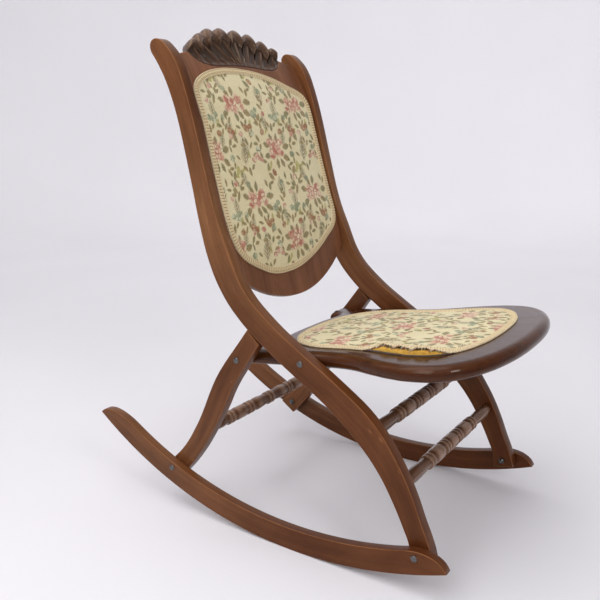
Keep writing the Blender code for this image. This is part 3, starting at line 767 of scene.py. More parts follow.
def seat_board():
    loop = to_seat(section("seat_board", SEAT_PIVOT + SEAT_UP * 0.0032, SEAT_UP))[:, :2]
    loop = smooth_loop(loop, SPACING, math.radians(40))
    sawn_board("seat_board", loop, (-SEAT_THICK / 2, SEAT_THICK / 2),
               (SEAT_ARRIS_UNDER, SEAT_ARRIS_TOP), 7, 0.020, from_seat, 3.0, SEAT_WALNUT)


def back_panel():
    loops, _ = facing("back_panel", (0, -1, 0.35))
    loop = smooth_loop(to_panel(loops[0])[:, :2])
    sawn_board("back_panel", loop, (-PANEL_THICK, 0.0), (PANEL_ARRIS, PANEL_ARRIS), 4, 0.010,
               from_panel, 5.0, PANEL_WALNUT)


def thickness_over(node, normal):
    """How thick a CAD node is along a direction."""
    heights = [vertex.co.dot(normal) for vertex in NODES[node].data.vertices]
    return max(heights) - min(heights)


SEAT_THICK = thickness_over("seat_board", SEAT_UP)


# ---------------------------------------------------------------- carved crest
CREST_FAN = 1.9                  # how strongly the flutes draw together at their feet
CREST_COLUMNS = 480
CREST_ROWS = 44
VALLEY = math.radians(44)        # the turn between two lobes of the outline
FLUTES = 2                       # to a lobe
GROOVE_DEPTH = 0.0048
NECK_DEPTH = 0.0022              # the cut under the bulb at a lobe's tip
BULB_HEIGHT = 0.0080
GAP_DEPTH = 0.0080               # between two lobes
SWELL_HEIGHT = 0.0046            # of the whole crest over its foot
CREST_ROUND = 0.0045             # radius of its outer edge


def crest_edges(loop):
    """The crest's top edge from left to right, the valleys between its lobes, and its foot."""
    valleys = loop[turns(loop) < -VALLEY]
    loop = smooth_loop(loop, 0.0015, VALLEY)
    loop = np.roll(loop, -int(loop[:, 0].argmax()), 0)
    left = int(loop[:, 0].argmin())
    top, foot = loop[:left + 1][::-1], np.concatenate([loop[left:], loop[:1]])
    top = read_at(top, np.linspace(0, lengths_along(top)[-1], CREST_COLUMNS))
    marks = sorted({int(np.hypot(*(top - valley).T).argmin()) for valley in valleys})
    marks = [m for m in marks if 8 < m < CREST_COLUMNS - 9]
    return top, [0] + marks + [CREST_COLUMNS - 1], foot


def crest_relief(tau, lobe):
    """The carving over its ground, the depth of its cuts and its bulbs.

    tau runs from 0 at the foot to 1 at the tip, and lobe from 0 to 1 across a lobe.
    """
    across = np.clip(1 - (2 * lobe - 1) ** 2, 0, 1)
    started = np.clip(tau / 0.16, 0, 1)
    ridges = np.abs(np.sin(math.pi * FLUTES * lobe)) ** 0.6
    below = np.clip((0.72 - tau) / 0.06, 0, 1)
    deepening = 0.35 + 0.65 * np.clip(tau / 0.5, 0, 1)
    grooves = -GROOVE_DEPTH * ridges * started * below * deepening
    neck = -NECK_DEPTH * np.exp(-((tau - 0.715) / 0.035) ** 2) * across
    tip = np.sqrt(np.clip(1 - ((tau - 0.865) / 0.145) ** 2, 0, 1))
    bulb = BULB_HEIGHT * tip * across ** 0.6
    gaps = np.exp(-(np.minimum(lobe, 1 - lobe) / 0.075) ** 2) * np.clip((tau - 0.25) / 0.4, 0, 1)
    swell = SWELL_HEIGHT * np.sin(math.pi / 2 * np.clip(tau / 0.8, 0, 1))
    cuts = grooves + neck - GAP_DEPTH * gaps
    return swell + bulb + cuts, -cuts, bulb


def carved_crest():
    loops, _ = facing("carved_crest", (0, -1, 0.6))
    top, marks, foot = crest_edges(to_panel(loops[0])[:, :2])
    lobe = np.interp(np.arange(CREST_COLUMNS), marks, np.arange(len(marks))) % 1.0
    u = np.linspace(-1, 1, CREST_COLUMNS)
    feet_x = foot[:, 0].max() * np.sign(u) * np.abs(u) ** CREST_FAN
    feet = np.stack([feet_x, np.interp(feet_x, foot[:, 0], foot[:, 1])], 1)
    tau = np.linspace(0, 1, CREST_ROWS)[:, None]
    flat = feet[None] + (top - feet)[None] * tau[..., None]
    relief, cuts, bulb = crest_relief(tau, lobe[None])
    reach = np.linalg.norm(top - feet, axis=1)[None]
    relief = relief * np.clip(reach / 0.030, 0, 1)
    edge = np.clip((1 - tau) * reach / CREST_ROUND, 0, 1)
    fall = CREST_ROUND * (1 - np.sqrt(1 - (1 - edge) ** 2))
    front = np.concatenate([flat, (0.0004 + relief - fall)[..., None]], 2)
    back = front.copy()
    back[..., 2] = -PANEL_THICK - CREST_PROUD + fall * 0.6
    grid = np.concatenate([front.reshape(-1, 3), back.reshape(-1, 3)])
    count = CREST_ROWS * CREST_COLUMNS
    rows = np.arange(count).reshape(CREST_ROWS, CREST_COLUMNS)
    quads = np.stack([rows[:-1, :-1], rows[:-1, 1:], rows[1:, 1:], rows[1:, :-1]], 2)
    quads = quads.reshape(-1, 4)
    border = np.concatenate([rows[0, ::-1], rows[1:, 0], rows[-1, 1:], rows[-2:0:-1, -1]])
    after = np.roll(border, -1)
    walls = np.stack([border, after, after + count, border + count], 1)
    faces = np.concatenate([quads, quads[:, ::-1] + count, walls])
    mesh = new_mesh("crest_carving", grid.tolist(), faces.tolist())
    face_outwards(mesh)
    for name, share in (("edge", np.clip(bulb.ravel() / BULB_HEIGHT, 0, 1) ** 6),
                        ("recess", np.clip(cuts.ravel() / 0.004, 0, 1))):
        attribute(mesh, name, np.concatenate([share, np.zeros(count)]))
    attribute(mesh, "grain", grid[:, [1, 0, 2]])
    place_mesh(mesh, from_panel)
    new_object("crest_carving", mesh, CREST_WALNUT, "carved_crest")


# ---------------------------------------------------------------- turned rungs
RUNG_STEPS = 5                   # between two of the frame's rings
RUNG_END = 0.002                 # the frame's own end faces are left out
RUBBED_RADIUS = 0.0116           # rings and barrels are rubbed from here out
RUBBED_SPAN = 0.0010


def rung(node, seed):
    """A rung turned again, with its rings and barrels rounded between the frame's sizes."""
    radii, axis = turned_profile(node)
    places = np.array(sorted(radii))
    widths = np.array([max(radii[x]) for x in sorted(radii)])
    inside = (places > places.min() + RUNG_END) & (places < places.max() - RUNG_END)
    places, widths = places[inside], widths[inside]
    at = [a + (b - a) * k / RUNG_STEPS for a, b in zip(places[:-1], places[1:])
          for k in range(RUNG_STEPS)]
    at = np.array(at + [places[-1]])
    smooth = hermite(places, widths[:, None], at, True)[:, 0]
    profile = [(places[-1], 0.0)] + list(zip(at[::-1], smooth[::-1])) + [(places[0], 0.0)]
    mesh = lathe(node + "_turned", profile, axis)
    rel = points_of(mesh) - np.array([0.0, *axis])
    attribute(mesh, "grain", rel + np.array([seed, 0.0, 0.0]))
    rubbed = (np.hypot(rel[:, 1], rel[:, 2]) - RUBBED_RADIUS) / RUBBED_SPAN
    attribute(mesh, "edge", np.clip(rubbed, 0, 1))
    new_object(node + "_turned", mesh, TURNED_WALNUT, node)


# ---------------------------------------------------------------- fasteners
DOME_STEPS = 10
BRIM = 0.12                      # the flat brim's share of a head's height


def domed_bolt(node):
    """A bolt or screw with a smooth dome, a slight flat brim and a round shank."""
    low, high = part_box(node)
    radii, axis = turned_profile(node)
    outside, inside = (high.x, low.x) if high.x > 0 else (low.x, high.x)
    side = 1 if high.x > 0 else -1
    head = max(max(group) for group in radii.values())
    brim = [x for x in radii if max(radii[x]) > head * 0.99][0]
    shank = min(r for group in radii.values() for r in group if 1e-4 < r < head * 0.6)
    height = abs(outside - brim)
    profile = []
    for i in range(DOME_STEPS + 1):
        angle = math.pi / 2 * i / DOME_STEPS
        profile.append((brim + side * height * (BRIM + (1 - BRIM) * math.cos(angle)),
                        head * math.sin(angle)))
    profile += [(brim, head), (brim, shank), (inside, shank), (inside, 0.0)]
    new_object(node + "_dome", lathe(node + "_dome", profile, axis, 32), STEEL, node)


def chamfered_nut(node):
    """The frame's nut with its sharp edges taken off."""
    mesh = NODES[node].data.copy()
    mesh.materials.clear()
    bm = opened(mesh)
    bmesh.ops.remove_doubles(bm, verts=bm.verts, dist=STITCH)
    sharp = [e for e in bm.edges if len(e.link_faces) == 2 and e.calc_face_angle() > 0.6]
    bmesh.ops.bevel(bm, geom=sharp, offset=0.0004, segments=2, affect="EDGES")
    put_back(bm, mesh)
    new_object(node + "_worn", mesh, STEEL, node)
    mesh.set_sharp_from_angle(angle=math.radians(35))


# ---------------------------------------------------------------- cloth
def distance_to(loop, points):
    """Each flat point's distance to an outline."""
    step = np.roll(loop, -1, 0) - loop
    best = np.full(len(points), np.inf)
    for start, along in zip(loop, step):
        rel = points - start
        t = np.clip(rel @ along / (along @ along), 0, 1)
        gap = rel - t[:, None] * along
        best = np.minimum(best, np.hypot(gap[:, 0], gap[:, 1]))
    return best


def evaluated_mesh(obj):
    """An object's mesh as its modifiers leave it."""
    graph = bpy.context.evaluated_depsgraph_get()
    return bpy.data.meshes.new_from_object(obj.evaluated_get(graph))


def cushion_mesh(name, edge):
    """A closed, evenly meshed cushion that fills the braid's outline, in flat coordinates."""
    mesh = plate(name, inset(edge, COVER_TUCK), -CUSHION_DEPTH, COVER_EDGE, 0.001, 0.001, 2)
    obj = in_scene(name, mesh)
    remesh = obj.modifiers.new("even", "REMESH")
    remesh.mode = "VOXEL"
    remesh.voxel_size = VOXEL
    obj.data = evaluated_mesh(obj)
    obj.modifiers.clear()
    return obj


CLOTH = {"quality": 6, "mass": 0.3, "tension_stiffness": 14, "compression_stiffness": 14,
         "shear_stiffness": 6, "bending_stiffness": 0.6, "use_pressure": True,
         "uniform_pressure_force": 4.0, "vertex_group_mass": "held"}


def simulate(obj, held):
    """Blow a closed cushion up under its own pressure, with some points held."""
    group = obj.vertex_groups.new(name=CLOTH["vertex_group_mass"])
    group.add([int(i) for i in np.nonzero(held)[0]], 1.0, "REPLACE")
    cloth = obj.modifiers.new("cloth", "CLOTH")
    for setting, value in CLOTH.items():
        setattr(cloth.settings, setting, value)
    cloth.settings.effector_weights.gravity = 0.0
    cloth.collision_settings.use_collision = False
    cloth.point_cache.frame_start = 1
    cloth.point_cache.frame_end = CLOTH_FRAMES
    for step in range(1, CLOTH_FRAMES + 1):
        bpy.context.scene.frame_set(step)
    graph = bpy.context.evaluated_depsgraph_get()
    moved = points_of(obj.evaluated_get(graph).to_mesh())
    obj.modifiers.clear()
    bpy.context.scene.frame_set(1)
    return moved


def stretched_cover(name, edge, rise, weave):
    """The sheet over a pad, in flat coordinates: the top of a cushion that was blown up."""
    obj = cushion_mesh(name, edge)
    rest = points_of(obj.data)
    inside = distance_to(edge, rest[:, :2])
    under = rest[:, 2] < COVER_EDGE - VOXEL * 0.6
    held = (inside < BRAID_WIDTH) | under
    moved = simulate(obj, held)
    # the movement is capped softly, so that the top stays a firm, shallow dome
    size = np.linalg.norm(moved - rest, axis=1)
    scale = rise * np.tanh(size / rise) / np.maximum(size, 1e-9)
    moved = rest + (moved - rest) * scale[:, None]
    mesh = obj.data
    attribute(mesh, "cloth_uv", weave(rest))
    move_points(mesh, moved)
    bm = opened(mesh)
    bm.verts.ensure_lookup_table()
    bmesh.ops.delete(bm, geom=[v for v in bm.verts if under[v.index]], context="VERTS")
    put_back(bm, mesh)
    finer = obj.modifiers.new("finer", "SUBSURF")
    finer.levels = finer.render_levels = 1
    sheet = evaluated_mesh(obj)
    bpy.data.objects.remove(obj)
    return sheet


def pad_under(name, sheet, mapping, bulge=None):
    """The stuffing under a cover: its own sheet let down a little, closed to the board."""
    points = points_of(sheet)
    if bulge is not None:
        points = bulge(points)
    points[:, 2] = np.maximum(points[:, 2] - PAD_GAP, 0.0004)
    mesh = sheet.copy()
    move_points(mesh, points)
    bm = opened(mesh)
    rim = [e for e in bm.edges if len(e.link_faces) == 1]
    made = bmesh.ops.extrude_edge_only(bm, edges=rim)["geom"]
    for vertex in (g for g in made if isinstance(g, bmesh.types.BMVert)):
        vertex.co.z = 0.0002
    bmesh.ops.recalc_face_normals(bm, faces=bm.faces)
    put_back(bm, mesh)
    place_mesh(mesh, mapping)
    mesh.name = name
    return mesh


# ---------------------------------------------------------------- braid
def evenly(loop, spacing):
    """A closed loop at even steps of about a spacing, each step's place and the whole length."""
    ring = np.concatenate([loop, loop[:1]])
    length = lengths_along(ring)[-1]
    at = np.linspace(0, length, round(length / spacing), endpoint=False)
    return read_at(ring, at), at, length


def eased(loop, passes=6):
    """A closed loop with its small kinks ironed out."""
    loop = evenly(loop, 0.004)[0]
    for _ in range(passes):
        loop = (np.roll(loop, 1, 0) + 2 * loop + np.roll(loop, -1, 0)) / 4
    return loop


SCALLOP = 0.0052                 # length of one scallop of the braid's edge
BRAID_RISE = 0.0038
BRAID_BED = 0.0012               # height of the braid's ground between its cords
BRAID_EDGE = 0.0007
BRAID_STEP = 0.0011
BRAID_COLUMNS = 15


def braid_mesh(name, edge, shape=None):
    """A woven braid with scalloped edges round an outline, in flat coordinates.

    The "weave" attribute runs along it, a scallop at a time, and across it.
    """
    path, along, length = evenly(inset(edge, BRAID_WIDTH / 2), BRAID_STEP)
    scallops = round(length / SCALLOP)
    turn = along / length * scallops * 2 * math.pi
    ahead = directions(path)
    outward = np.stack([ahead[:, 1], -ahead[:, 0]], 1)
    u = np.linspace(-1, 1, BRAID_COLUMNS)
    rib = np.abs(np.cos(turn / 2))[:, None]
    half = BRAID_WIDTH / 2 * (0.84 + 0.16 * rib)
    flat = path[:, None, :] + outward[:, None, :] * (half * u)[..., None]
    cords = np.maximum(np.cos((np.abs(u) - 0.80) / 0.20 * math.pi / 2), 0) ** 0.5
    middle = np.maximum(np.cos(u / 0.58 * math.pi / 2), 0) ** 0.5
    twist = 0.5 + 0.5 * np.cos(turn[:, None] * 2 + np.abs(u)[None] * 7.0)
    lumps = np.maximum(cords[None] * (0.45 + 0.45 * rib),
                       middle[None] * (0.15 + 0.25 * twist + 0.55 * rib))
    height = BRAID_BED + (BRAID_RISE - BRAID_BED) * lumps
    height[:, 0] = height[:, -1] = BRAID_EDGE
    top = np.concatenate([flat, (COVER_EDGE * 0.4 + height)[..., None]], 2)
    low = np.concatenate([flat, np.full(height.shape + (1,), 0.0003)], 2)
    if shape is not None:
        top, low = (shape(part.reshape(-1, 3)).reshape(part.shape) for part in (top, low))
    rows = len(path)
    ring = np.concatenate([top, low[:, ::-1]], 1)
    columns = ring.shape[1]
    faces = []
    for r in range(rows):
        row, above = r * columns, (r + 1) % rows * columns
        for c in range(columns):
            d = (c + 1) % columns
            faces.append((row + c, above + c, above + d, row + d))
    mesh = new_mesh(name, ring.reshape(-1, 3).tolist(), faces)
    across = np.concatenate([u, u[::-1]])
    pattern = np.stack(np.broadcast_arrays(turn[:, None] / (2 * math.pi) * SCALLOP,
                                           across[None] * BRAID_WIDTH / 2,
                                           np.zeros((rows, columns))), 2)
    attribute(mesh, "weave", pattern.reshape(-1, 3))
    return mesh


# ---------------------------------------------------------------- tear along the near side
# the seat's cover has come away from the board along this stretch of its right-hand side
TEAR = (-0.242, -0.084)          # rearwards of the seat's pivot
TEAR_RAMP = 0.042                # it opens and closes over this length
TEAR_IN = 0.0150
TEAR_UP = 0.0085
RIGHT_SIDE = -0.05               # left of this the seat is whole
TACKS = 0.004                    # the line of tacks, in from the braid's outer edge
FOAM_UP = 0.0072                 # the lip of foam that swells out
FOAM_LIP = 0.009


def tear_share(points):
    """How much of the tear's lift a flat point on the seat gets."""
    low, high = TEAR
    rise = np.clip((points[:, 1] - low) / TEAR_RAMP, 0, 1)
    fall = np.clip((high - points[:, 1]) / TEAR_RAMP, 0, 1)
    share = np.minimum(rise, fall)
    return share * share * (3 - 2 * share) * (points[:, 0] < RIGHT_SIDE)


def torn(points):
    """Flat points of the seat's cover or braid, lifted and drawn in along the tear."""
    share = tear_share(points)
    inside = distance_to(SEAT_EDGE, points[:, :2])
    near = np.exp(-(np.maximum(inside - TACKS, 0) / 0.026) ** 1.5) * share
    flutter = 1 + 0.16 * np.sin(points[:, 1] * 190) + 0.10 * np.sin(points[:, 1] * 410 + 1)
    moved = points.copy()
    moved[:, 0] += TEAR_IN * near
    moved[:, 2] += TEAR_UP * near * flutter
    return moved


def bulged(points):
    """Flat points of the stuffing, swelling out along the tear."""
    share = tear_share(points)
    inside = distance_to(SEAT_EDGE, points[:, :2])
    lip = np.clip((inside - TACKS) / FOAM_LIP, 0, 1)
    lump = FOAM_UP * share * np.sqrt(1 - (1 - lip) ** 2)
    lump *= 1 + 0.10 * np.sin(points[:, 1] * 260 + 2)
    lump *= np.exp(-(np.maximum(inside - 0.010, 0) / 0.020) ** 2)
    # it stays just under the torn cloth
    cloth = torn(points)[:, 2] - 0.0010
    moved = points.copy()
    moved[:, 2] = np.maximum(moved[:, 2], np.minimum(lump + PAD_GAP, cloth))
    return moved


THREAD = 0.00050                 # a frayed thread's radius
THREAD_REACH = (0.0040, 0.0110)  # out over the board
THREAD_DROP = (0.0010, 0.0035)
THREAD_STRAY = 0.0022
HEM_IN = 0.0012                  # the threads start this far in from the cover's edge
HEM_STEP = 0.0021                # and this far apart
THREADS = ((0.62, 0.50, 0.30), (0.70, 0.60, 0.40), (0.09, 0.085, 0.040), (0.30, 0.085, 0.045))
LINING = (0.050, 0.030, 0.018)
LINING_WIDTH = 0.0046
LINING_RAGGED = 0.0012


def frayed_hem(name):
    """Loose threads along the torn hem, and the strip of old lining left on the board.

    The "dye" attribute is each point's colour.
    """
    rng = np.random.default_rng(5)
    hem = evenly(inset(SEAT_EDGE, HEM_IN), HEM_STEP)[0]
    share = tear_share(hem)
    verts, faces, dyes = [], [], []

    def dyed(colour):
        """Give a colour to the vertices added since the last one."""
        dyes.extend([colour] * (len(verts) - len(dyes)))

    for (x, y), pull in zip(hem, share):
        if pull < 0.12 or rng.random() < 0.10:
            continue
        start = torn(np.array([[x, y, 0.0016]]))[0]
        reach = rng.uniform(*THREAD_REACH) * pull
        drop = start[2] - rng.uniform(*THREAD_DROP)
        stray = rng.normal(0, THREAD_STRAY)
        t = np.linspace(0, 1, 6)[:, None]
        end = np.array([start[0] - reach, start[1] + stray, max(drop, 0.0012)])
        path = start + (end - start) * t + np.array([-0.3 * reach, 0, 0.0006]) * t * (1 - t)
        tube(verts, faces, path, THREAD)
        dyed(THREADS[rng.integers(len(THREADS))])

    strip = evenly(inset(SEAT_EDGE, -0.0004), 0.0014)[0]
    inner = inset(strip, LINING_WIDTH)
    torn_off = tear_share(strip) > 0.02
    last = None
    for (x, y), (u, v), used in zip(strip, inner, torn_off):
        if not used:
            last = None
            continue
        ragged = rng.uniform(-LINING_RAGGED, LINING_RAGGED)
        first = len(verts)
        verts.extend([(x - ragged, y, 0.0005), (x - ragged * 0.4, y, 0.0015), (u, v, 0.0018)])
        if last is not None:
            for k in (0, 1):
                faces.append((last + k, first + k, first + k + 1, last + k + 1))
        last = first
    dyed(LINING)
    mesh = new_mesh(name, verts, faces)
    attribute(mesh, "dye", dyes)
    return mesh


def frayed_material():
    tree = Tree("frayed_threads")
    place = tree.place()
    twist = tree.noise(place, 1500.0, 2.0, 0.6)
    grubby = tree.ramp(tree.noise(place, 120.0, 3.0), (0.35, rgb(0.7, 0.66, 0.6)),
                       (0.65, rgb(1.05, 1.02, 0.98)))
    colour = tree.shaded(tree.coordinate("dye"), grubby)
    return tree.finish(colour, 0.90, tree.bump(twist, 0.5, 0.0003), Sheen_Weight=0.3)


# ---------------------------------------------------------------- cloth materials
CREAM = rgb(0.87, 0.785, 0.495)
CREAM_SHADE = rgb(0.77, 0.68, 0.405)


def tapestry():
    """Woven cloth with scattered roses, sprays of leaves and small flowers in a repeat."""
    tree = Tree("tapestry")
    uv = tree.coordinate("cloth_uv")
    wander = tree.node("TexNoise", None, Vector=uv, Scale=55.0, Detail=2.0)
    wander = tree.vector("SUBTRACT", wander.outputs["Color"], (0.5, 0.5, 0.5))
    uv = tree.vector("ADD", uv, tree.vector("MULTIPLY", wander, (0.0045, 0.0045, 0.0)))
    threads = tree.vector("SNAP", uv, (0.00058, 0.00066, 1.0))
    fuzz = tree.node("TexWhiteNoise", {"noise_dimensions": "2D"}, Vector=threads)
    fuzz = tree.times(tree.minus(fuzz.outputs["Value"], 0.5), 0.55)
    half_x, half_y = TILE[0] / 2, TILE[1] / 2

    def local(x, y, long, wide, degrees):
        """How far along and beside a motif's middle, in its half length and half width."""
        near = tree.vector("SUBTRACT", threads, (x * MM, y * MM, 0.0))
        near = tree.node("VectorMath", {"operation": "WRAP"}, i0=near, i1=(half_x, half_y, 1.0),
                         i2=(-half_x, -half_y, -1.0)).outputs[0]
        turn = math.radians(degrees)
        stretch, squeeze = 2 / (long * MM), 2 / (wide * MM)
        cos, sin = math.cos(turn), math.sin(turn)
        along = tree.vector("DOT_PRODUCT", near, (cos * stretch, sin * stretch, 0.0))
        side = tree.vector("DOT_PRODUCT", near, (-sin * squeeze, cos * squeeze, 0.0))
        return along, side

    def squared(value, more):
        return tree.math("MULTIPLY_ADD", value, value, more)

    def smallest(shape, places):
        """The least value of a shape over all its places, so that one mask takes them all."""
        best = shape(*places[0])
        for place in places[1:]:
            best = tree.math("MINIMUM", best, shape(*place))
        return best

    def leaf(x, y, long, wide, degrees):
        """Under 1 inside a leaf pointed at both ends."""
        along, side = local(x, y, long * 1.05, wide * 0.85, degrees)
        return squared(along, tree.math("ABSOLUTE", side))

    def disc(x, y, long, wide, degrees):
        """Under 1 inside an ellipse."""
        along, side = local(x, y, long, wide, degrees)
        return squared(along, squared(side, 0.0))

    def inside(value, soft=0.10):
        """A mask that is 1 where a shape's value is under 1, with a stitched edge."""
        value = tree.plus(value, fuzz)
        return tree.spread(value, 1.0 + soft, 1.0 - soft)

    def tone(scale, low, high):
        """A colour that drifts between two, with so many patches to a metre."""
        drift = tree.noise(threads, scale, 1.0)
        return tree.ramp(drift, (0.38, low), (0.62, high))

    def sprig(x, y, long, wide, degrees):
        """Under 1 on slanting leaflets in pairs up a stem."""
        along, side = local(x, y, long, wide, degrees)
        side = tree.math("ABSOLUTE", side)
        slant = tree.minus(along, tree.times(side, 0.70))
        stripe = tree.times(tree.math("PINGPONG", slant, 0.20), 10.5)
        taper = squared(along, side)
        stem = tree.plus(tree.times(side, 9.0), tree.times(taper, 0.2))
        return tree.math("MAXIMUM", taper, tree.math("MINIMUM", stripe, stem))

    sprigs = smallest(sprig, SPRIGS)
    leaves = smallest(leaf, SMALL_LEAVES)
    big = smallest(leaf, BIG_LEAVES)
    yellow = smallest(leaf, YELLOW_LEAVES)
    blue = smallest(disc, BLUE_FLOWERS)
    orange = smallest(disc, ORANGE_BUDS)
    pink_bud = smallest(disc, PINK_BUDS)
    roses = tree.math("SQRT", smallest(disc, ROSES))

    ground = tone(260.0, CREAM_SHADE, CREAM)
    ground = tree.mix(0.5, ground, tone(1300.0, CREAM_SHADE, CREAM))
    colour = tree.mix(inside(yellow, 0.14), ground, tone(300.0, rgb(0.42, 0.38, 0.1),
                                                         rgb(0.6, 0.53, 0.19)))
    colour = tree.mix(inside(sprigs, 0.16), colour, tone(60.0, rgb(0.18, 0.165, 0.075),
                                                        rgb(0.33, 0.24, 0.12)))
    hue = tone(48.0, rgb(0.215, 0.195, 0.06), rgb(0.39, 0.24, 0.078))
    hue = tree.mix(0.40, hue, tone(420.0, rgb(0.105, 0.095, 0.034), rgb(0.6, 0.52, 0.26)))
    colour = tree.mix(inside(leaves), colour, hue)
    rim = tree.spread(big, 0.55, 0.86)
    hue = tree.mix(tree.times(rim, 0.4), hue, rgb(0.12, 0.11, 0.052))
    colour = tree.mix(inside(big), colour, hue)

    # petals are cells of several shades, parted by darker lines
    swirl = tree.noise(threads, 95.0, 2.0, 0.6)
    swirled = tree.node("TexNoise", None, Vector=threads, Scale=130.0, Detail=1.0)
    swirled = tree.vector("MULTIPLY", swirled.outputs["Color"], (0.006, 0.006, 0.0))
    swirled = tree.vector("ADD", threads, swirled)
    flat = {"voronoi_dimensions": "2D"}
    lines = tree.node("TexVoronoi", {**flat, "feature": "DISTANCE_TO_EDGE"}, Vector=swirled,
                      Scale=118.0).outputs["Distance"]
    shades = tree.node("TexVoronoi", flat, Vector=swirled, Scale=118.0).outputs["Color"]
    shades = tree.vector("DOT_PRODUCT", shades, (0.5, 0.5, 0.0))

    def flower(line, deep, middle, pale):
        """Petals of three shades with a line round each."""
        cells = tree.ramp(shades, (0.25, deep), (0.45, middle), (0.70, pale))
        return tree.mix(tree.ramp(lines, (0.05, 0.0), (0.12, 1.0)), line, cells)

    for value, soft, *dyes in (
            (blue, 0.20, rgb(0.26, 0.26, 0.125), rgb(0.26, 0.285, 0.16),
             rgb(0.43, 0.46, 0.285), rgb(0.66, 0.65, 0.43)),
            (orange, 0.14, rgb(0.27, 0.13, 0.055), rgb(0.4, 0.165, 0.065),
             rgb(0.48, 0.27, 0.11), rgb(0.6, 0.4, 0.22)),
            (pink_bud, 0.14, rgb(0.47, 0.2, 0.12), rgb(0.56, 0.24, 0.16),
             rgb(0.74, 0.47, 0.32), rgb(0.82, 0.65, 0.45))):
        colour = tree.mix(inside(value, soft), colour, flower(*dyes))
    scallop = tree.plus(roses, tree.times(tree.minus(swirl, 0.5), 1.25))
    petals = flower(rgb(0.43, 0.15, 0.085), rgb(0.56, 0.19, 0.125),
                    rgb(0.76, 0.46, 0.31), rgb(0.86, 0.69, 0.48))
    colour = tree.mix(inside(scallop, 0.06), colour, petals)

    # the weave: fine ribs across, thread by thread, with painted shade between the threads and painted light on
    # their tops
    weave = tree.node("TexWave", {"wave_type": "BANDS", "bands_direction": "Y"}, Vector=uv,
                      Scale=420.0, Distortion=0.6, Detail=1.0).outputs["Fac"]
    warp = tree.node("TexWave", {"wave_type": "BANDS", "bands_direction": "X"}, Vector=uv,
                     Scale=480.0, Distortion=0.6, Detail=1.0).outputs["Fac"]
    cloth = tree.times(weave, warp)
    shade = tree.ramp(cloth, (0.0, 0.86), (0.7, 1.08))
    colour = tree.shaded(colour, shade)
    age = tree.noise(uv, 14.0, 4.0, 0.6)
    age = tree.ramp(age, (0.25, rgb(0.92, 0.89, 0.83)), (0.60, rgb(1.0, 1.0, 1.0)))
    colour = tree.shaded(colour, age)
    slub = tree.noise(tree.vector("MULTIPLY", uv, (90.0, 900.0, 1.0)), 1.0, 2.0)
    normal = tree.bump(slub, 0.30, 0.0006)
    normal = tree.bump(cloth, 0.55, 0.0004, normal)
    return tree.finish(colour, 0.88, normal, Sheen_Weight=0.25, Sheen_Roughness=0.5,
                       Specular_IOR_Level=0.25)


# motifs of one repeat: (x, y, length, width, angle), in millimetres and degrees
ROSES = [
    (-3, -2, 30, 26, 0), (14, 7, 22, 19, 30), (-16, 6, 20, 17, 0), (20, -7, 15, 12, 10),
    (-22, -9, 16, 12, -20), (90, 90, 38, 34, 10), (78, 78, 20, 16, 0), (104, 80, 19, 14, 0),
    (107, 100, 16, 13, 0), (73, 101, 15, 12, 0),
]
BIG_LEAVES = [
    (38, 3, 21, 14, 8), (29, -17, 22, 13, -25), (-33, 7, 19, 12, 165), (-32, -18, 20, 12, 200),
    (-12, 20, 19, 11, 120), (4, 23, 19, 11, 80), (-2, -23, 19, 11, -75), (12, -21, 18, 11, -50),
    (124, 92, 21, 14, 15), (119, 70, 22, 14, -30), (63, 76, 21, 13, 195), (64, 96, 19, 12, 160),
    (98, 107, 19, 11, 75), (82, 108, 18, 11, 110), (88, 60, 19, 12, -95), (104, 61, 18, 11, -60),
    (-22, -62, 19, 12, 120), (26, -54, 19, 12, 55), (58, 38, 19, 12, 130), (134, 46, 19, 12, 60),
]
SMALL_LEAVES = [
    (-61, 21, 16, 8, 115), (-70, 12, 15, 8, 170), (-66, 33, 14, 7, 85), (-58, 6, 15, 8, 60),
    (-50, -32, 16, 9, 110), (-62, -38, 15, 8, 165), (-42, -41, 15, 8, 50), (-56, -49, 14, 7, 240),
    (55, -24, 16, 9, 120), (66, -30, 15, 8, 30), (59, -40, 15, 8, 80), (48, -36, 14, 8, 160),
    (46, 21, 16, 8, 70), (36, 27, 15, 8, 115), (54, 27, 14, 7, 20),
    (-42, 24, 15, 8, 60), (-50, 33, 15, 8, 115), (-33, 33, 14, 7, 40),
    (8, -38, 15, 8, 110), (18, -34, 14, 7, 60), (-6, -42, 14, 7, 160),
    (72, -5, 15, 8, 130), (82, 2, 15, 8, 60), (76, 11, 14, 7, 95),
    (145, 104, 16, 9, 55), (155, 97, 15, 8, 10), (141, 92, 14, 7, 110),
    (42, 108, 16, 9, 125), (33, 99, 15, 8, 175), (45, 93, 14, 7, 60),
    (130, 58, 15, 8, 15), (122, 51, 15, 8, -60), (143, 64, 14, 7, 75),
    (48, 66, 15, 8, 165), (56, 56, 15, 8, 250), (43, 77, 14, 7, 110),
    (92, 128, 16, 9, 80), (82, 134, 15, 8, 135), (103, 133, 14, 7, 40),
    (0, 50, 16, 9, 95), (-11, 56, 15, 8, 140), (11, 57, 14, 7, 50),
    (8, 104, 15, 8, 120), (-3, 98, 15, 8, 170), (18, 97, 14, 7, 60),
    (150, 150, 15, 8, 110), (160, 143, 15, 8, 50), (60, 148, 15, 8, 70), (50, 141, 15, 8, 130),
    (24, 80, 14, 7, 20), (160, 76, 14, 7, 150), (120, 18, 15, 8, 120), (131, 12, 15, 8, 60),
    (104, 22, 14, 7, 170), (100, 36, 14, 7, 95), (150, 22, 14, 7, 30),
]
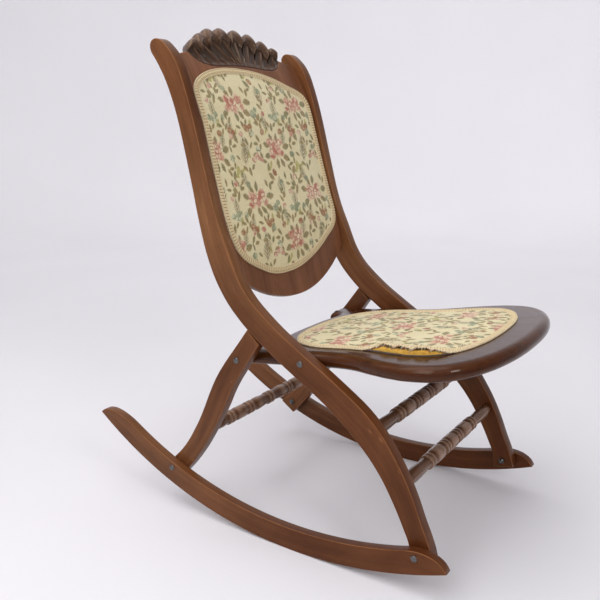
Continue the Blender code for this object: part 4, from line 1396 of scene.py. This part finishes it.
YELLOW_LEAVES = [
    (-28, 48, 18, 8, 60), (-38, 53, 16, 8, 110), (-18, 55, 15, 7, 30), (-45, 44, 15, 7, 160),
    (145, 48, 17, 8, 75), (153, 56, 16, 8, 120), (57, 52, 15, 8, 20), (66, 60, 14, 7, 70),
    (120, 138, 18, 8, 55), (110, 146, 15, 7, 110), (30, 136, 17, 8, 80), (20, 130, 15, 7, 150),
    (72, 122, 15, 7, 60), (6, 80, 15, 7, 100), (168, 120, 15, 7, 60),
]
BLUE_FLOWERS = [
    (47, -19, 17, 15, 0), (57, -11, 11, 10, 0), (-74, -26, 18, 16, 0), (-64, -19, 11, 10, 0),
    (-46, -24, 12, 11, 0), (140, 76, 15, 13, 0), (36, 88, 13, 12, 0), (28, 118, 12, 11, 0),
    (98, 148, 13, 12, 0), (84, 26, 12, 11, 0), (170, 28, 12, 11, 0),
]
ORANGE_BUDS = [
    (-33, -48, 17, 14, 20), (-23, -52, 13, 11, 0), (16, -45, 18, 14, -20), (28, -41, 12, 10, 0),
    (70, 44, 14, 11, 120), (116, 120, 15, 12, 20), (60, 120, 14, 11, 60), (150, 124, 13, 11, 0),
]
PINK_BUDS = [
    (30, 76, 17, 12, 10), (40, 70, 12, 10, 0), (18, 70, 12, 10, 0), (-34, -58, 11, 9, 0),
    (76, -18, 11, 10, 0), (-80, 6, 12, 10, 0), (-4, 118, 12, 10, 0), (130, 32, 12, 10, 0),
]
SPRIGS = [
    (81, 18, 38, 20, 92), (0, -78, 38, 20, -88), (74, 136, 30, 16, 105), (-6, 78, 32, 18, 85),
    (156, 130, 30, 16, 75), (162, 40, 30, 16, 100), (-72, -8, 30, 16, 80), (120, 108, 28, 15, 70),
]


def gimp():
    """The braid: pale ribs across its scallops, with a twisted cord along each edge; the gaps between ribs,
    strands and plies get painted shade.
    """
    tree = Tree("gimp")
    weave = tree.coordinate("weave")
    parts = tree.node("SeparateXYZ", None, i0=weave)
    side = tree.math("ABSOLUTE", parts.outputs[1])
    slant = tree.plus(parts.outputs[0], tree.times(side, 1.3))
    strands = tree.times(tree.math("PINGPONG", slant, 0.0012), 833.0)
    ribs = tree.math("PINGPONG", parts.outputs[0], SCALLOP / 2)
    ribs = tree.minus(1.0, tree.times(ribs, 2 / SCALLOP))
    drift = tree.noise(weave, 700.0, 3.0, 0.6)
    # painted shade: the colour darkens towards the notches between the scallop ribs and the gaps between strands
    shade = tree.ramp(ribs, (0.15, rgb(0.4, 0.28, 0.125)), (0.55, rgb(0.92, 0.8, 0.52)))
    shade = tree.mix(0.30, shade, tree.ramp(strands, (0.05, rgb(0.3, 0.2, 0.095)),
                                            (0.45, rgb(0.8, 0.67, 0.42))))
    cord = tree.spread(side, 0.0044, 0.0050)
    # painted shade in the gaps between the cord's plies
    ply = tree.math("PINGPONG", parts.outputs[0], 0.0013)
    ply = tree.ramp(tree.times(ply, 769.0), (0.05, rgb(0.42, 0.31, 0.17)),
                    (0.40, rgb(0.88, 0.77, 0.54)))
    shade = tree.mix(cord, shade, ply)
    light = tree.ramp(drift, (0.35, rgb(0.72, 0.66, 0.55)), (0.65, rgb(1.08, 1.04, 0.98)))
    colour = tree.shaded(shade, light)
    normal = tree.bump(strands, 0.7, 0.0005)
    return tree.finish(colour, 0.80, normal, Sheen_Weight=0.3, Sheen_Roughness=0.4)


def foam_material():
    """Old yellow foam."""
    tree = Tree("foam")
    place = tree.place()
    cells = tree.noise(place, 900.0, 3.0, 0.7)
    clumps = tree.noise(place, 90.0, 3.0, 0.6)
    colour = tree.ramp(clumps, (0.32, rgb(0.42, 0.205, 0.022)), (0.60, rgb(0.64, 0.37, 0.055)))
    normal = tree.bump(tree.plus(cells, clumps), 0.35, 0.0010)
    return tree.finish(colour, 0.92, normal, Subsurface_Weight=0.0)


TAPESTRY = tapestry()
GIMP = gimp()
FOAM = foam_material()
FRAYED = frayed_material()


# ---------------------------------------------------------------- build
for index, node in enumerate(("left_post", "right_post", "left_leg", "right_leg",
                              "left_rocker", "right_rocker")):
    side_board(node, 1.7 * index)
seat_board()
back_panel()
carved_crest()
for index, node in enumerate(("upper_front_rung", "lower_front_rung", "rear_rung")):
    rung(node, 2.3 * index + 1)
for hand in ("left", "right"):
    for name in ("front_foot_bolt", "rear_foot_bolt", "seat_pivot_screw", "leg_pivot_screw"):
        domed_bolt(f"{hand}_{name}")
    for name in ("front_foot_nut", "rear_foot_nut"):
        chamfered_nut(f"{hand}_{name}")

BACK_EDGE = eased(smooth_loop(to_panel(facing("back_braid", (0, -1, 0.35))[0][0])[:, :2]))
SEAT_EDGE = eased(smooth_loop(to_seat(facing("seat_braid", SEAT_UP)[0][0])[:, :2]))
SEAT_TOP = SEAT_THICK / 2


def from_seat_top(points):
    """Flat places and heights over the seat board, as world points."""
    return from_seat(points + np.array([0.0, 0.0, SEAT_TOP]))


PULLED = 0.016                   # the cloth is drawn in by this at the rose's left
PULLED_FROM = 0.02               # starting this far from it
PULLED_OVER = 0.06


def laid(x, y, degrees):
    """A mapping from flat places to the woven pattern, with a rose at a place on the pad."""
    turn = math.radians(degrees)
    across = np.array([math.cos(turn), math.sin(turn), 0.0])
    up = np.array([-math.sin(turn), math.cos(turn), 0.0])

    def weave(points):
        rel = points - np.array([x, y, 0.0])
        rel[:, 0] -= PULLED * np.clip((-rel[:, 0] - PULLED_FROM) / PULLED_OVER, 0, 1)
        return np.stack([rel @ across, rel @ up, 0 * rel[:, 2]], 1)
    return weave


def upholster(name, edge, rise, mapping, weave, shape=None, bulge=None):
    """The stuffing, cover and braid of one pad."""
    sheet = stretched_cover(name + "_tapestry", edge, rise, weave)
    pad = pad_under(name + "_stuffing", sheet, mapping, bulge)
    pad = new_object(name + "_stuffing", pad, FOAM, name + "_padding")

    if shape is not None:
        move_points(sheet, shape(points_of(sheet)))
    place_mesh(sheet, mapping)
    sheet.materials.clear()
    cover = new_object(name + "_tapestry", sheet, TAPESTRY, name + "_cover")
    cut = inset(edge, COVER_TUCK)

    braid = braid_mesh(name + "_gimp", edge, shape)
    place_mesh(braid, mapping)
    new_object(name + "_gimp", braid, GIMP, name + "_braid")


upholster("back", BACK_EDGE, BACK_RISE, from_panel, laid(-0.077, 0.361, 0))
upholster("seat", SEAT_EDGE, SEAT_RISE, from_seat_top, laid(-0.103, -0.022, 8), torn, bulged)

hem = frayed_hem("frayed_hem")
place_mesh(hem, from_seat_top)
new_object("frayed_hem", hem, FRAYED, "seat_cover", replaces=False)

# what stays as the frame's own mesh gets a real finish
for name, node in NODES.items():
    if node.hide_render:
        continue
    finish = DOWEL if SLOT_OF[name] == "dowel" else STEEL
    for place in range(len(node.data.materials)):
        node.data.materials[place] = finish


# ---------------------------------------------------------------- stage, light and camera
DIM_SIDE = (0.45, -0.89, 0.0)    # towards the unlit side of the room
LIT_SIDE = (0.86, 0.51, 0.0)     # towards the lit paper behind the chair
FLOOR_RADIUS = 3.2
CURVE_RADIUS = 1.2
CURVE_STEPS = 12
WALL_TOP = 2.6
BEARINGS = 96                    # points to each ring of the floor
CAMERA_AT = (-1.1411, -0.6915, 0.7052)
CAMERA_DOWN = 0.2392             # radians below level
CAMERA_ROUND = -0.9868           # radians from +Y, anticlockwise


def stage_material():
    tree = Tree("paper")
    place = tree.place()
    drift = tree.noise(place, 1.3, 3.0)
    colour = tree.ramp(drift, (0.3, rgb(0.79, 0.78, 0.802)), (0.7, rgb(0.82, 0.81, 0.832)))
    # painted shade: the paper on the far side of the room, in front of the chair, is coloured dark
    ahead = tree.vector("DOT_PRODUCT", place, DIM_SIDE)
    colour = tree.mix(tree.spread(ahead, 1.4, 3.4, 0.0, 0.50), colour, rgb(0.1, 0.095, 0.095))
    # the paper behind is lit of its own
    behind = tree.vector("DOT_PRODUCT", place, LIT_SIDE)
    tree.feed(tree.shader.inputs["Emission Color"], colour)
    tree.feed(tree.shader.inputs["Emission Strength"], tree.spread(behind, 0.7, 3.6, 0.0, 0.20))
    return tree.finish(colour, 0.75, tree.bump(tree.noise(place, 2.2, 2.0), 0.05, 0.01),
                       Specular_IOR_Level=0.2)


def make_stage():
    """A pale round floor that curves up into a low wall all the way round."""
    profile = [(1.5, 0.0), (FLOOR_RADIUS, 0.0)]
    for i in range(1, CURVE_STEPS + 1):
        angle = math.pi / 2 * i / CURVE_STEPS
        profile.append((FLOOR_RADIUS + CURVE_RADIUS * math.sin(angle),
                        CURVE_RADIUS * (1 - math.cos(angle))))
    profile.append((FLOOR_RADIUS + CURVE_RADIUS, WALL_TOP))
    verts = []
    for radius, height in profile:
        for k in range(BEARINGS):
            angle = 2 * math.pi * k / BEARINGS
            verts.append((radius * math.cos(angle), radius * math.sin(angle), height))
    faces = [tuple(range(BEARINGS))]
    for low in range(0, len(verts) - BEARINGS, BEARINGS):
        high = low + BEARINGS
        for k in range(BEARINGS):
            j = (k + 1) % BEARINGS
            faces.append((low + k, high + k, high + j, low + j))
    mesh = new_mesh("studio_floor", verts, faces)
    mesh.shade_smooth()
    mesh.materials.append(stage_material())
    floor = in_scene("studio_floor", mesh)


def area_light(name, location, size, power):
    """A square light that looks at the middle of the chair."""
    data = bpy.data.lights.new(name, "AREA")
    data.shape = "RECTANGLE"
    data.size = data.size_y = size
    data.energy = power
    lamp = in_scene(name, data)
    lamp.location = location
    look = (CAD_BOX[0] + CAD_BOX[1]) / 2 - Vector(location)
    lamp.rotation_euler = look.to_track_quat("-Z", "Y").to_euler()


make_stage()
area_light("overhead", (-0.7, 0.4, 2.6), 2.2, 22)
area_light("key", (-2.3, 0.2, 1.8), 1.5, 17)
area_light("front", (-1.2, -2.2, 1.7), 0.7, 14)

world = bpy.data.worlds.new("studio")
world.use_nodes = True
nodes, links = world.node_tree.nodes, world.node_tree.links
direction = nodes.new("ShaderNodeTexCoord")
ahead = nodes.new("ShaderNodeVectorMath")
ahead.operation = "DOT_PRODUCT"
ahead.inputs[1].default_value = DIM_SIDE
sky = nodes.new("ShaderNodeValToRGB")
bright, dim = sky.color_ramp.elements
bright.position, bright.color = 0.05, rgb(0.97, 0.95, 0.99)
dim.position, dim.color = 0.85, rgb(0.16, 0.155, 0.16)
links.new(direction.outputs["Generated"], ahead.inputs[0])
links.new(ahead.outputs["Value"], sky.inputs["Fac"])
links.new(sky.outputs["Color"], nodes["Background"].inputs["Color"])
nodes["Background"].inputs["Strength"].default_value = 0.92
bpy.context.scene.world = world
bpy.context.scene.view_settings.view_transform = "Standard"

camera = in_scene("camera", bpy.data.cameras.new("camera"))
camera.location = CAMERA_AT
camera.rotation_euler = (math.pi / 2 - CAMERA_DOWN, 0.0, CAMERA_ROUND)
camera.data.sensor_width = 36.0
camera.data.lens = 44.67
bpy.context.scene.camera = camera
